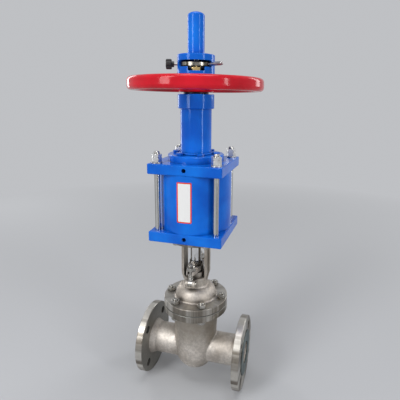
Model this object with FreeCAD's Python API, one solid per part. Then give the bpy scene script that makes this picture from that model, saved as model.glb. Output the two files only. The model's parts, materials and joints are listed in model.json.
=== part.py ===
import FreeCAD, Part
import math
import os

# Flanged wedge gate valve with a double-acting air cylinder and a handwheel override.
# Millimetres. Each piece is drawn about the stem axis (x = 0, y = 0) with z = 0 on the
# flow axis, and is moved at the end so that the origin is the centre of the inlet flange's
# bolt circle, on the plane of its drilled rim.
# +X runs along the flow from inlet to outlet, +Z up the stem, -Y is the front with the ports.

# Pipe ends, DN50 PN16
face_to_face = 250.0
pipe_bore_r = 25.0
nozzle_wall = 10.0
nozzle_foot_rise = 5.0
nozzle_foot_length = 13.0
pipe_flange_r = 82.5
pipe_flange_rim = 16.0
raised_face_land = 3.5
raised_face_height = 2.0
pipe_bolt_edge = 20.0
pipe_bolt_hole_r = 9.0
pipe_bolt_count = 4
# Degrees between the two flanges' hole patterns, so that no two holes share one axis
pipe_bolt_drift = 0.001
flange_edge = 1.0

# Valve body drum
cavity_gap = 1.9
drum_flare = 3.0
drum_bottom_depth = 57.0
drum_wall = 10.0
drum_straight_rise = 1.5
drum_fillet = 5.0
crotch_fillet = 3.0
body_flange_r = 75.0
body_flange_thickness = 15.1
body_flange_top = 117.6
guide_rib_width = 6.0
guide_rib_height = 6.2
guide_rib_bottom = -25.0

# Wedge and seats
wedge_angle = 5.0
wedge_half_thickness = 15.0
wedge_cover = 6.0
wedge_seat_gap = 0.05
wedge_ear_gap = 2.5
wedge_ear_half_width = 8.0
wedge_ear_half_height = 18.0
wedge_shoulder = 18.6
guide_gap = 0.5
seat_head_rim = 6.0
seat_head_back = 23.0
seat_tail_rim = 4.0
seat_tail_length = 8.0
stub_rim = 2.5
lift_margin = 2.0

# Stem and its T-head
stem_r = 9.0
stem_head_rise = 5.0
stem_head_height = 6.0
stem_head_width = 26.0
stem_head_gap = 0.3
stem_neck_flat = 15.0
stem_neck_gap = 0.5
wedge_lip = 5.0
wedge_boss_wall = 4.0
wedge_boss_side = 7.0
backseat_rise = 3.0
backseat_height = 7.0
backseat_gap = 0.3
stem_thread_length = 26.0

# Bonnet and yoke, one casting
bonnet_gap = 0.8
bonnet_flange_thickness = 15.1
bonnet_bolt_edge = 13.0
bonnet_bolt_count = 6
bonnet_bolt_r = 5.0
bonnet_nut_turn = 30.0
bolt_hole_gap = 0.5
spot_r = 11.0
bonnet_bolt_flats = 17.0
bonnet_nut_height = 8.4
bonnet_stud_end = 3.0
recess_land = 1.5
spigot_gap = 0.3
recess_depth = 4.0
gasket_thickness = 1.5
gasket_width = 8.7
dome_r = 48.0
dome_height = 27.0
dome_fillet = 4.0
neck_r = 28.0
neck_height = 50.5
box_wall = 6.5
box_rise = 12.0
box_bore_r = 15.0
roof_height = 15.5
roof_thickness = 11.0
bush_wall = 3.95
bush_lip = 2.0
yoke_height = 105.0
yoke_arm_in = 24.75
yoke_arm_thickness = 6.0
yoke_arm_half_width = 14.0
yoke_bend_inset = 2.0
yoke_rib_height = 3.5
yoke_rib_width = 8.0
yoke_flange_r = 60.0
yoke_flange_thickness = 14.0
yoke_bolt_edge = 12.0
yoke_bolt_r = 5.0
yoke_bolt_head = 6.4
yoke_bolt_grip = 15.0
yoke_bolt_count = 4
yoke_bolt_turn = 45.0
yoke_hole_r = 26.0

# Gland
packing_count = 5
packing_height = 6.0
follower_collar_r = 18.0
follower_collar_height = 3.5
follower_lip = 1.5
gland_flange_thickness = 9.0
gland_flange_r = 18.0
gland_ear_r = 10.5
gland_hole_gap = 1.2
eyebolt_y = 36.0
eyebolt_drop = 6.0
eyebolt_length = 48.0
eyebolt_r = 5.0
eyebolt_eye_r = 8.0
eyebolt_eye_half = 5.0
eyebolt_pin_r = 4.0
eyebolt_pin_end = 2.0
lug_thickness = 6.0
lug_gap = 0.3
lug_r = 8.5
gland_nut_flats = 17.0
gland_nut_height = 8.4

# Air cylinder
barrel_r = 80.0
barrel_wall = 5.0
plate_overhang = 1.0
plate_thickness = 22.0
plate_edge = 1.5
plate_spigot = 5.0
spigot_clearance = 0.1
o_ring_r = 1.3
o_ring_side_gap = 0.2
lower_boss_gap = 0.1
lower_boss_height = 6.0
port_r = 4.4
port_depth = 12.0
port_drill_r = 3.0
port_drill_reach = 3.5
port_edge = 0.8
tie_rod_r = 6.0
tie_rod_edge = 16.0
tie_rod_grip = 14.0
tie_hole_gap = 0.5
tie_washer_r = 11.5
tie_washer_thickness = 2.5
tie_nut_flats = 19.0
tie_nut_height = 10.8
tie_locknut_height = 6.0
tie_rod_end = 5.5
tie_nut_turn = 10.0

# Piston and rod
rod_r = 12.5
upper_rod_r = 10.0
locknut_gap = 2.5
locknut_height = 9.0
locknut_flats = 27.0
piston_gap_below = 6.0
piston_gap_above = 2.0
piston_thickness = 36.0
piston_clearance = 0.4
piston_edge = 1.5
piston_nut_height = 14.0
piston_nut_flats = 30.0
dish_rim = 14.0
dish_hub_r = 30.0
dish_depth = 7.0
slide_fit = 0.05
seal_height = 5.0
seal_depth = 5.0
seal_edge = 4.0
wear_ring_height = 10.0
wear_ring_depth = 2.5
rod_bush_wall = 4.5
rod_bush_length = 16.0
rod_seal_height = 5.0
upper_seal_inset = 1.0
rod_end_rise = 54.0
thread_height = 126.0

# Column and thrust bearings
column_r = 34.0
column_wall = 7.0
column_length = 112.6
column_weld = 4.0
column_flange_thickness = 14.5
column_flange_edge = 1.5
column_bolt_inset = 12.5
column_bolt_edge = 15.5
column_bolt_count = 6
column_bolt_r = 4.0
column_bolt_flats = 13.0
column_bolt_head = 5.5
column_bolt_grip = 13.0
column_bolt_turn = 15.0
tap_end = 1.0
collar_overhang = 5.5
collar_floor = 3.4
collar_spigot = 5.0
collar_spigot_wall = 3.0
collar_edge = 1.2
bearing_wall = 7.5
bearing_gap = 0.4
bearing_height = 9.9
race_thickness = 2.5
ball_r = 2.4
ball_count = 10
ball_gap = 0.05
cage_thickness = 2.4
cage_wall = 2.0
cage_pocket_gap = 0.15
cover_wall = 3.5
cover_thickness = 5.0
cover_hole_r = 1.6
cover_hole_depth = 3.0
sleeve_flange_thickness = 2.2

# Drive sleeve and handwheel
sleeve_bore_gap = 0.8
sleeve_r = 18.8
sleeve_tail = 2.0
sleeve_neck_r = 27.0
neck_gap = 0.5
hub_lift = 4.0
hub_height = 30.0
hub_r = 37.5
hub_edge = 2.0
hub_bore_r = 20.0
key_width = 6.0
key_height = 6.0
key_length = 20.0
key_inset = 2.0
hub_nut_r = 26.0
hub_nut_gap = 0.2
hub_nut_height = 6.0
wheel_r = 145.0
rim_width = 22.0
rim_height = 27.0
rim_corner = 8.5
rim_lift = 16.0
spoke_count = 5
spoke_start = 90.0
spoke_root_width = 26.0
spoke_root_height = 15.0
spoke_end_width = 18.0
spoke_end_height = 11.0
spoke_bite = 3.5

# Clutch
wheel_rest_turn = 18.6
housing_rim = 2.5
housing_wall = 5.0
housing_height = 46.9
housing_roof = 5.5
housing_edge = 1.5
slot_rise = 20.9
slot_height = 13.0
slot_right = -35.0
slot_left = -153.0
notch_half_width = 17.0
notch_depth = 8.2
notch_corner = 2.5
carrier_gap = 0.4
carrier_base = 6.0
cheek_r = 26.0
guide_half_width = 10.1
guide_clearance = 0.1
half_nut_height = 14.5
half_nut_reach = 21.3
half_nut_split = 0.3
half_nut_travel = 3.0
half_nut_bore_gap = 0.3
cam_pin_r = 2.0
cam_pin_open_r = 20.0
cam_slot_gap = 0.35
cam_pin_height = 6.0
ring_rise = 23.5
clutch_ring_gap = 0.1
clutch_ring_thickness = 7.0
clutch_ring_relief = 4.9
relief_half_angle = 36.0
ring_notch_width = 12.8
ring_notch_depth = 4.0
lever_r = 4.0
lever_rest = -42.5
lever_swing = 100.0
lever_stick_out = 32.0
lever_root = 8.0
lever_root_r = 2.5
lever_shoulder_gap = 0.3
carrier_screw_r = 2.5
carrier_screw_count = 4
carrier_screw_inset = 4.5
carrier_screw_head_r = 4.2
carrier_screw_head = 5.0
carrier_screw_floor = 2.5
carrier_screw_grip = 11.0
carrier_socket_flats = 4.0
screw_gap = 0.2
grub_screw_r = 2.5
grub_screw_count = 3
grub_screw_bite = 4.0
grub_screw_sink = 0.5
grub_socket_r = 1.4
grub_socket_depth = 3.0
lock_stud_r = 2.5
lock_travel = 2.0
knob_gap = 6.6
knob_length = 17.0
knob_r = 10.75
knob_edge = 2.0
knob_neck_r = 6.0
knob_neck_length = 5.0
knob_lobes = 6
knob_flute_r = 3.6
knob_flute_out = 1.9
knob_cover = 3.0

# Cover tube over the rising rod
tube_r = 17.8
tube_wall = 2.5
tube_gap = 12.9
tube_dome = 8.0
tube_roof = 1.0
tube_weld = 2.5

# Details shared by many pieces
nut_bevel = 0.6
thread_edge = 1.0
thread_relief = 2.0
pin_head_rim = 1.5
pin_head_height = 2.5
lip_edge = 0.6

# How far a cutting tool runs past the face it cuts, and a joined piece into its neighbour
margin = 1.0

# Sizes closer than this are taken as equal when edges are looked up
near = 0.01

# Sizes and levels that follow from the ones above
nozzle_r = pipe_bore_r + nozzle_wall
pipe_bolt_circle_r = pipe_flange_r - pipe_bolt_edge
raised_face_r = pipe_bolt_circle_r - pipe_bolt_hole_r - raised_face_land
seat_head_r = pipe_bore_r + seat_head_rim
seat_tail_r = pipe_bore_r + seat_tail_rim
stub_r = seat_head_r + stub_rim
wedge_r = pipe_bore_r + wedge_cover
stroke = pipe_bore_r + wedge_r + lift_margin
stem_x = face_to_face / 2
flange_back = stem_x - raised_face_height - pipe_flange_rim
flange_front = stem_x - raised_face_height
cavity_r = math.hypot(seat_head_r, seat_head_back) + cavity_gap
drum_r = cavity_r + drum_wall
drum_straight_top = nozzle_r + drum_straight_rise
guide_rib_y = cavity_r - guide_rib_height
stem_head_bottom = wedge_r + stem_head_rise
stem_head_top = stem_head_bottom + stem_head_height
wedge_top = stem_head_top + wedge_lip
body_flange_bottom = body_flange_top - body_flange_thickness
bonnet_bottom = body_flange_top + bonnet_gap
bonnet_top = bonnet_bottom + bonnet_flange_thickness
recess_bottom = body_flange_top - recess_depth
spigot_bottom = recess_bottom + gasket_thickness
bonnet_bolt_circle_r = body_flange_r - bonnet_bolt_edge
bonnet_hole_r = bonnet_bolt_r + bolt_hole_gap
recess_r = bonnet_bolt_circle_r - bonnet_hole_r - recess_land
spigot_r = recess_r - spigot_gap
neck_top = bonnet_top + neck_height
roof_z = bonnet_top + roof_height
box_floor = roof_z + roof_thickness
box_top = neck_top + box_rise
box_r = box_bore_r + box_wall
bush_r = stem_r + slide_fit + bush_wall
packing_top = box_floor + packing_count * packing_height
collar_bottom = box_top + follower_lip
gland_bottom = collar_bottom + follower_collar_height
gland_top = gland_bottom + gland_flange_thickness
eyebolt_z = neck_top - eyebolt_drop
eyebolt_top = eyebolt_z + eyebolt_length
yoke_top = neck_top + yoke_height
yoke_flange_bottom = yoke_top - yoke_flange_thickness
yoke_bolt_circle_r = yoke_flange_r - yoke_bolt_edge
rod_bottom = gland_top + locknut_gap + locknut_height
cylinder_bottom = yoke_top
lower_boss_r = yoke_hole_r - lower_boss_gap
barrel_bore_r = barrel_r - barrel_wall
o_ring_middle_r = barrel_bore_r - slide_fit - o_ring_r
barrel_bottom = cylinder_bottom + plate_thickness
piston_bottom = barrel_bottom + plate_spigot + piston_gap_below
piston_top = piston_bottom + piston_thickness
piston_nut_top = piston_top + piston_nut_height
barrel_top = piston_nut_top + stroke + piston_gap_above + plate_spigot
cylinder_top = barrel_top + plate_thickness
plate_half = barrel_r + plate_overhang
tie_rod_xy = plate_half - tie_rod_edge
column_bolt_circle_r = column_r + column_bolt_inset
column_flange_r = column_bolt_circle_r + column_bolt_edge
column_flange_top = cylinder_top + column_flange_thickness
column_top = cylinder_top + column_length
collar_r = column_r + collar_overhang
bearing_r = collar_r - bearing_wall
race_r = bearing_r - bearing_gap
race_bore_r = sleeve_r + bearing_gap
ball_track_r = (race_r + race_bore_r) / 2
cover_r = collar_r - cover_wall
chamber_bottom = column_top + collar_floor
sleeve_flange_bottom = chamber_bottom + bearing_height
sleeve_flange_top = sleeve_flange_bottom + sleeve_flange_thickness
chamber_top = sleeve_flange_top + bearing_height
collar_top = chamber_top + cover_thickness
sleeve_bore_r = upper_rod_r + sleeve_bore_gap
hub_bottom = collar_top + hub_lift
hub_top = hub_bottom + hub_height
rim_middle = hub_bottom + rim_lift
housing_r = hub_r + housing_rim
housing_inner_r = housing_r - housing_wall
housing_top = hub_top + housing_height
roof_bottom = housing_top - housing_roof
slot_bottom = hub_top + slot_rise
slot_middle = slot_bottom + slot_height / 2
ring_bottom = hub_top + ring_rise
ring_top = ring_bottom + clutch_ring_thickness
ring_middle = (ring_bottom + ring_top) / 2
carrier_r = housing_inner_r - carrier_gap
carrier_top = hub_top + carrier_base
carrier_middle = hub_top + carrier_base / 2
carrier_screw_circle_r = carrier_r - carrier_screw_inset
clutch_ring_r = housing_inner_r - clutch_ring_gap
relief_r = clutch_ring_r - clutch_ring_relief
lever_tip = housing_r + lever_stick_out
knob_start = housing_r + knob_gap
knob_end = knob_start + knob_length
rod_top = hub_top + rod_end_rise
thread_start = cylinder_top + thread_height
tube_shoulder = rod_top + stroke + tube_gap
axis_x = FreeCAD.Vector(1, 0, 0)
axis_y = FreeCAD.Vector(0, 1, 0)
axis_z = FreeCAD.Vector(0, 0, 1)
origin = FreeCAD.Vector(0, 0, 0)


def rod(radius, low, high, x=0.0, y=0.0):
    """Upright cylinder between two levels."""
    return Part.makeCylinder(radius, high - low, FreeCAD.Vector(x, y, low), axis_z)


def drill(radius, low, high, x=0.0, y=0.0):
    """Tool for an upright hole that runs past both levels."""
    return rod(radius, low - margin, high + margin, x, y)


def ring(outer, inner, low, high):
    """Upright tube between two levels."""
    return rod(outer, low, high).cut(drill(inner, low, high))


def bar_x(radius, low, high, y=0.0, z=0.0):
    """Cylinder along X."""
    return Part.makeCylinder(radius, high - low, FreeCAD.Vector(low, y, z), axis_x)


def bar_y(radius, low, high, x=0.0, z=0.0):
    """Cylinder along Y."""
    return Part.makeCylinder(radius, high - low, FreeCAD.Vector(x, low, z), axis_y)


def block(x0, x1, y0, y1, z0, z1):
    """Box between opposite corners."""
    return Part.makeBox(x1 - x0, y1 - y0, z1 - z0, FreeCAD.Vector(x0, y0, z0))


def turned(profile):
    """Solid of revolution about the stem axis from (radius, level) points."""
    points = [FreeCAD.Vector(radius, 0, level) for radius, level in profile]
    return Part.Face(Part.makePolygon(points + points[:1])).revolve(origin, axis_z, 360)


def dome(crown_r, rim_r, base, height):
    """Solid under a quarter-ellipse shoulder that rises from its rim to a flat crown."""
    centre = FreeCAD.Vector(crown_r, 0, base)
    rim_point = FreeCAD.Vector(rim_r, 0, base)
    crown = FreeCAD.Vector(crown_r, 0, base + height)
    long_end, short_end = (crown, rim_point) if height > rim_r - crown_r else (rim_point, crown)
    ellipse = Part.Ellipse(long_end, short_end, centre)
    shoulder = Part.ArcOfEllipse(ellipse, 0, math.pi / 2).toShape()
    corners = [crown, FreeCAD.Vector(0, 0, base + height), FreeCAD.Vector(0, 0, base), rim_point]
    sides = [Part.makeLine(a, b) for a, b in zip(corners, corners[1:]) if a.distanceToPoint(b) > near]
    outline = Part.Wire(Part.__sortEdges__([shoulder] + sides))
    return Part.Face(outline).revolve(origin, axis_z, 360)


def bowl(radius, depth):
    """Solid below the flow axis with a half-ellipse bottom."""
    return dome(0.0, radius, 0.0, depth).mirror(origin, axis_z)


def prism(points, low, high):
    """Upright prism over an outline of (x, y) points."""
    corners = [FreeCAD.Vector(x, y, low) for x, y in points]
    face = Part.Face(Part.makePolygon(corners + corners[:1]))
    return face.extrude(FreeCAD.Vector(0, 0, high - low))


def hexagon(flats, low, high, turn=0.0):
    """Hexagonal prism, with its corners bevelled as a nut's are."""
    corner = flats / math.sqrt(3)
    angles = [math.radians(60 * k + turn) for k in range(6)]
    points = [(corner * math.cos(angle), corner * math.sin(angle)) for angle in angles]
    bevel = (corner - flats / 2) * nut_bevel
    cap = turned([
        (0, low), (flats / 2, low), (corner, low + bevel),
        (corner, high - bevel), (flats / 2, high), (0, high),
    ])
    return prism(points, low, high).common(cap)


def nut(flats, hole, low, high, turn=0.0):
    """Hexagonal nut."""
    return hexagon(flats, low, high, turn).cut(drill(hole, low, high))


def moved(shape, x=0.0, y=0.0, z=0.0):
    """Copy of a shape, shifted."""
    copy = shape.copy()
    copy.translate(FreeCAD.Vector(x, y, z))
    return copy


def spun(shape, angle, axis=axis_z):
    """Copy of a shape, turned about an axis through the origin."""
    copy = shape.copy()
    copy.rotate(origin, axis, angle)
    return copy


def around(shape, count, radius, start=0.0):
    """Copies of a shape on a circle about the stem axis."""
    return [spun(moved(shape, x=radius), start + 360.0 * k / count) for k in range(count)]


def both_ways(shape):
    """A shape and its half-turn copy about the stem axis."""
    return [shape, spun(shape, 180)]


def mirrored_x(shape):
    """Mirror image on the other side of the stem axis along the flow."""
    return shape.mirror(origin, axis_x)


def mirrored_z(shape, level):
    """Mirror image above or below a level."""
    return shape.mirror(FreeCAD.Vector(0, 0, level), axis_z)


def cut_all(shape, tools):
    """A shape less a list of others."""
    for tool in tools:
        shape = shape.cut(tool)
    return shape


def fuse_all(shapes):
    """One solid from several."""
    return shapes[0].multiFuse(shapes[1:]).removeSplitter()


def curve_of(edge):
    """Curve of an edge, or None where it is of no named kind."""
    try:
        return edge.Curve
    except TypeError:
        return None


def circles_at(shape, radius, level):
    """Edges of a shape that are level circles of one radius at one height."""
    found = []
    for edge in shape.Edges:
        curve = curve_of(edge)
        if isinstance(curve, Part.Circle) and abs(curve.Radius - radius) < near:
            if abs(curve.Center.z - level) < near and abs(curve.Axis.z) > 1 - near:
                found.append(edge)
    return found


def rounded(shape, radius, places):
    """Shape with its circular edges at (radius, level) places filleted."""
    return shape.makeFillet(radius, [edge for place in places for edge in circles_at(shape, *place)])


def bevelled(shape, size, places):
    """Shape with its circular edges at (radius, level) places chamfered."""
    return shape.makeChamfer(size, [edge for place in places for edge in circles_at(shape, *place)])


def export(name, shapes):
    """Moves the pieces of one node into the part's frame and writes them."""
    pieces = shapes if isinstance(shapes, list) else [shapes]
    solids = [moved(solid, x=flange_front) for piece in pieces for solid in piece.Solids]
    shape = solids[0] if len(solids) == 1 else Part.makeCompound(solids)
    shape.exportStep("parts/" + name + ".step")


def pipe_end():
    """One nozzle with its drilled flange, on the outlet side, before the bore is cut."""
    foot_r = nozzle_r + nozzle_foot_rise
    profile = [
        (0, 0), (0, nozzle_r), (flange_back - nozzle_foot_length, nozzle_r), (flange_back, foot_r),
        (flange_back, pipe_flange_r - flange_edge), (flange_back + flange_edge, pipe_flange_r),
        (flange_front - flange_edge, pipe_flange_r), (flange_front, pipe_flange_r - flange_edge),
        (flange_front, raised_face_r), (stem_x, raised_face_r), (stem_x, 0),
    ]
    points = [FreeCAD.Vector(x, 0, radius) for x, radius in profile]
    solid = Part.Face(Part.makePolygon(points + points[:1])).revolve(origin, axis_x, 360)
    hole = bar_x(pipe_bolt_hole_r, flange_back - margin, flange_front + margin, y=pipe_bolt_circle_r)
    steps = [360.0 * (k + 0.5) / pipe_bolt_count for k in range(pipe_bolt_count)]
    return cut_all(solid, [spun(hole, step, axis_x) for step in steps])


def body_outside():
    """Drum, nozzles and flanges of the valve body before boring."""
    flare_r = drum_r + drum_flare
    shell = turned([
        (0, 0), (drum_r, 0), (drum_r, drum_straight_top),
        (flare_r, body_flange_bottom - drum_fillet - margin), (flare_r, body_flange_bottom),
        (body_flange_r, body_flange_bottom),
        (body_flange_r, body_flange_top), (0, body_flange_top),
    ])
    shell = rounded(shell, drum_fillet, [(flare_r, body_flange_bottom)])
    outlet = pipe_end()
    inlet = spun(mirrored_x(outlet), pipe_bolt_drift, axis_x)
    outside = fuse_all([shell, bowl(drum_r, drum_bottom_depth), outlet, inlet])
    crotch = [
        edge for edge in outside.Edges
        if not isinstance(curve_of(edge), (Part.Circle, Part.Line))
        and abs(edge.BoundBox.Center.x) < drum_r and edge.BoundBox.ZMax < drum_straight_top
    ]
    return outside.makeFillet(crotch_fillet, crotch)


def valve_body():
    """Cast body: drum, two flanged nozzles, bonnet flange, seat stubs and guide ribs."""
    cavity = rod(cavity_r, 0.0, body_flange_top + margin)
    hollow = fuse_all([cavity, bowl(cavity_r, drum_bottom_depth - drum_wall)])
    recess = rod(recess_r, recess_bottom, body_flange_top + margin)
    body = body_outside().cut(hollow).cut(recess)
    wall_x = (cavity_r + drum_r) / 2
    stub = bar_x(stub_r, seat_head_back, wall_x)
    half_rib = guide_rib_width / 2
    rib = block(-half_rib, half_rib, guide_rib_y, wall_x, guide_rib_bottom, recess_bottom)
    inserts = [shape.common(hollow) for shape in (stub, mirrored_x(stub), rib, spun(rib, 180))]
    body = fuse_all([body] + inserts)
    seat_end = seat_head_back + seat_tail_length
    bores = [bar_x(pipe_bore_r, -stem_x - margin, stem_x + margin), bar_x(seat_tail_r, -seat_end, seat_end)]
    hole = drill(bonnet_hole_r, body_flange_bottom, body_flange_top)
    spot = rod(spot_r, body_flange_bottom - spot_r, body_flange_bottom)
    holes = around(hole, bonnet_bolt_count, bonnet_bolt_circle_r)
    spots = around(spot, bonnet_bolt_count, bonnet_bolt_circle_r)
    rims = [(body_flange_r, body_flange_bottom), (body_flange_r, body_flange_top)]
    return bevelled(cut_all(body, bores + holes + spots), flange_edge, rims)


def beyond_face(x, reach):
    """Block on one side of the outlet's sloping seat plane, which crosses the flow axis at x."""
    low, high = sorted((x, x + reach))
    side = abs(reach)
    slab = block(low, high, -side, side, -side, side)
    slab.rotate(FreeCAD.Vector(x, 0, 0), axis_y, wedge_angle)
    return slab


def seat_ring():
    """Seat ring on the outlet side, with its sloping face towards the wedge."""
    seat_end = seat_head_back + seat_tail_length
    blank = bar_x(seat_head_r, 0, seat_head_back).fuse(bar_x(seat_tail_r, seat_head_back, seat_end))
    blank = blank.cut(beyond_face(wedge_half_thickness + wedge_seat_gap, -face_to_face))
    return blank.cut(bar_x(pipe_bore_r, -margin, seat_end + margin)).removeSplitter()


def wedge_gate():
    """Wedge disc with side ears that run on the ribs, and a T-slot for the stem's head."""
    room_r = cavity_r - wedge_ear_gap
    room = rod(room_r, 0.0, cavity_r).fuse(bowl(room_r, drum_bottom_depth - drum_wall - wedge_ear_gap))
    half = seat_head_back
    disc = bar_x(wedge_r, -half, half)
    shoulders = block(-half, half, -wedge_r, wedge_r, 0, wedge_shoulder)
    beyond = beyond_face(wedge_half_thickness, face_to_face)
    blank = disc.fuse(shoulders).cut(beyond).cut(mirrored_x(beyond))
    boss_x = stem_r + wedge_boss_side
    boss_y = stem_head_width / 2 + wedge_boss_wall
    boss = block(-boss_x, boss_x, -boss_y, boss_y, 0, wedge_top)
    ear_x = wedge_ear_half_width
    ears = block(-ear_x, ear_x, -room_r, room_r, -wedge_ear_half_height, wedge_ear_half_height)
    solid = fuse_all([blank, boss, ears.common(room)])
    groove_x = guide_rib_width / 2 + guide_gap
    groove = block(-groove_x, groove_x, guide_rib_y - guide_gap, cavity_r, -cavity_r, cavity_r)
    slot_y = stem_head_width / 2 + stem_head_gap
    slot_top = stem_head_top + stem_head_gap
    t_slot = block(-half, half, -slot_y, slot_y, stem_head_bottom - stem_head_gap, slot_top)
    neck_y = stem_neck_flat / 2 + stem_neck_gap
    neck = block(-half, half, -neck_y, neck_y, slot_top, wedge_top + margin)
    return cut_all(solid, both_ways(groove) + [t_slot, neck])


def bonnet_outside():
    """Flange, dome, neck and stuffing box before boring."""
    flange = rod(body_flange_r, bonnet_bottom, bonnet_top)
    spigot = rod(spigot_r, spigot_bottom, bonnet_bottom + margin)
    cap = dome(neck_r, dome_r, bonnet_top, dome_height)
    neck = rod(neck_r, bonnet_top, neck_top)
    box = rod(box_r, neck_top - margin, box_top)
    solid = fuse_all([flange, spigot, cap, neck, box])
    return rounded(solid, dome_fillet, [(dome_r, bonnet_top), (neck_r, bonnet_top + dome_height)])


def yoke_arm():
    """One yoke arm on the outlet side: a flat web with an outer rib, curving in to the neck."""
    arm_out = yoke_arm_in + yoke_arm_thickness
    rib_out = arm_out + yoke_rib_height
    top = yoke_flange_bottom + margin
    foot = neck_top - yoke_arm_half_width
    bend_top = neck_top + yoke_arm_half_width
    root_in = (box_bore_r + box_r) / 2
    root_out = neck_r - yoke_arm_thickness
    outline = [
        (arm_out, bend_top), (arm_out, top), (yoke_arm_in, top), (yoke_arm_in, neck_top),
        (root_in, neck_top), (root_in, foot), (root_out, foot),
    ]
    corners = [FreeCAD.Vector(x, 0, z) for x, z in outline]
    middle = FreeCAD.Vector(arm_out - yoke_bend_inset, 0, neck_top)
    bend = Part.Arc(corners[-1], middle, corners[0]).toShape()
    edges = [Part.makeLine(a, b) for a, b in zip(corners, corners[1:])]
    web = Part.Face(Part.Wire(edges + [bend])).extrude(FreeCAD.Vector(0, 2 * yoke_arm_half_width, 0))
    rib_outline = [
        (arm_out, top), (rib_out, top), (rib_out, bend_top), (neck_r - margin, foot),
        (root_out, foot), (yoke_arm_in, bend_top), (yoke_arm_in + margin, top),
    ]
    corners = [FreeCAD.Vector(x, 0, z) for x, z in rib_outline]
    rib = Part.Face(Part.makePolygon(corners + corners[:1])).extrude(FreeCAD.Vector(0, yoke_rib_width, 0))
    return moved(web, y=-yoke_arm_half_width).fuse(moved(rib, y=-yoke_rib_width / 2))


def gland_lugs():
    """The pair of lugs on the front of the neck that hold one eyebolt's pin."""
    inner = eyebolt_eye_half + lug_gap
    outer = inner + lug_thickness
    bottom = eyebolt_z - lug_r
    lugs = []
    for low, high in ((inner, outer), (-outer, -inner)):
        tip = bar_x(lug_r, low, high, y=-eyebolt_y, z=eyebolt_z)
        root = block(low, high, -eyebolt_y, -box_r, bottom, neck_top)
        lugs.append(tip.fuse(root))
    return lugs[0].fuse(lugs[1])


def eye_space():
    """Room for one eyebolt's eye between its lugs."""
    half = eyebolt_eye_half + lug_gap
    reach = eyebolt_eye_r + lug_gap
    low, high = eyebolt_z - reach, neck_top + margin
    return block(-half, half, -eyebolt_y - 2 * reach, reach - eyebolt_y, low, high)


def bonnet_yoke():
    """Bonnet and yoke casting."""
    arm = yoke_arm()
    flange = rod(yoke_flange_r, yoke_flange_bottom, yoke_top)
    solid = fuse_all([bonnet_outside(), arm, mirrored_x(arm), flange] + both_ways(gland_lugs()))
    tools = [
        dome(bush_r + bush_lip, cavity_r, spigot_bottom, roof_z - spigot_bottom),
        rod(bush_r, roof_z - margin, box_floor + margin),
        rod(box_bore_r, box_floor, box_top + margin),
        drill(yoke_hole_r, yoke_flange_bottom, yoke_top),
        bar_x(eyebolt_pin_r + slide_fit, -neck_r, neck_r, y=-eyebolt_y, z=eyebolt_z),
        bar_x(eyebolt_pin_r + slide_fit, -neck_r, neck_r, y=eyebolt_y, z=eyebolt_z),
    ]
    tools += both_ways(eye_space())
    bolt_hole = drill(bonnet_hole_r, bonnet_bottom, bonnet_top)
    spot = rod(spot_r, bonnet_top, bonnet_top + spot_r)
    tools += around(bolt_hole.fuse(spot), bonnet_bolt_count, bonnet_bolt_circle_r)
    yoke_hole = drill(yoke_bolt_r + bolt_hole_gap, yoke_flange_bottom, yoke_top)
    tools += around(yoke_hole, yoke_bolt_count, yoke_bolt_circle_r, yoke_bolt_turn)
    rims = [
        (body_flange_r, bonnet_bottom), (body_flange_r, bonnet_top),
        (yoke_flange_r, yoke_flange_bottom), (yoke_flange_r, yoke_top),
    ]
    return bevelled(cut_all(solid, tools), flange_edge, rims)


def bonnet_bolts():
    """Bolts with their heads below the body flange."""
    low = body_flange_bottom - bonnet_nut_height
    high = bonnet_top + bonnet_nut_height + bonnet_stud_end
    shank = bevelled(rod(bonnet_bolt_r, body_flange_bottom, high), thread_edge, [(bonnet_bolt_r, high)])
    bolt = fuse_all([shank, hexagon(bonnet_bolt_flats, low, body_flange_bottom, bonnet_nut_turn)])
    return around(bolt, bonnet_bolt_count, bonnet_bolt_circle_r)


def bonnet_nuts():
    """Nuts on top of the bonnet flange."""
    high = bonnet_top + bonnet_nut_height
    piece = nut(bonnet_bolt_flats, bonnet_bolt_r, bonnet_top, high, bonnet_nut_turn)
    return around(piece, bonnet_bolt_count, bonnet_bolt_circle_r)


def backseat_bush():
    """Bush in the bonnet roof that guides the stem and seals its backseat."""
    bore = stem_r + slide_fit
    lip = ring(bush_r + bush_lip, bore, roof_z - bush_lip, roof_z)
    return lip.fuse(ring(bush_r, bore, roof_z, box_floor)).removeSplitter()


def packing_rings():
    """Packing rings stacked in the stuffing box."""
    levels = [box_floor + k * packing_height for k in range(packing_count)]
    return [ring(box_bore_r, stem_r + slide_fit, level, level + packing_height) for level in levels]


def gland_follower():
    """Gland follower with its collar."""
    bore = stem_r + 2 * slide_fit
    tube = ring(box_bore_r - slide_fit, bore, packing_top, gland_bottom)
    return tube.fuse(ring(follower_collar_r, bore, collar_bottom, gland_bottom)).removeSplitter()


def gland_flange():
    """Two-eared gland flange with open slots for the swing bolts."""
    low, high = gland_bottom, gland_top
    waist = prism(
        [
            (-gland_flange_r, 0), (-gland_ear_r, -eyebolt_y), (gland_ear_r, -eyebolt_y),
            (gland_flange_r, 0), (gland_ear_r, eyebolt_y), (-gland_ear_r, eyebolt_y),
        ],
        low, high,
    )
    ears = both_ways(rod(gland_ear_r, low, high, y=eyebolt_y))
    solid = fuse_all([rod(gland_flange_r, low, high), waist] + ears)
    half = eyebolt_r + bolt_hole_gap
    mouth = block(-half, half, eyebolt_y, eyebolt_y + 2 * gland_ear_r, low - margin, high + margin)
    slot = mouth.fuse(drill(half, low, high, y=eyebolt_y))
    return cut_all(solid, both_ways(slot) + [drill(stem_r + gland_hole_gap, low, high)])


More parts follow.
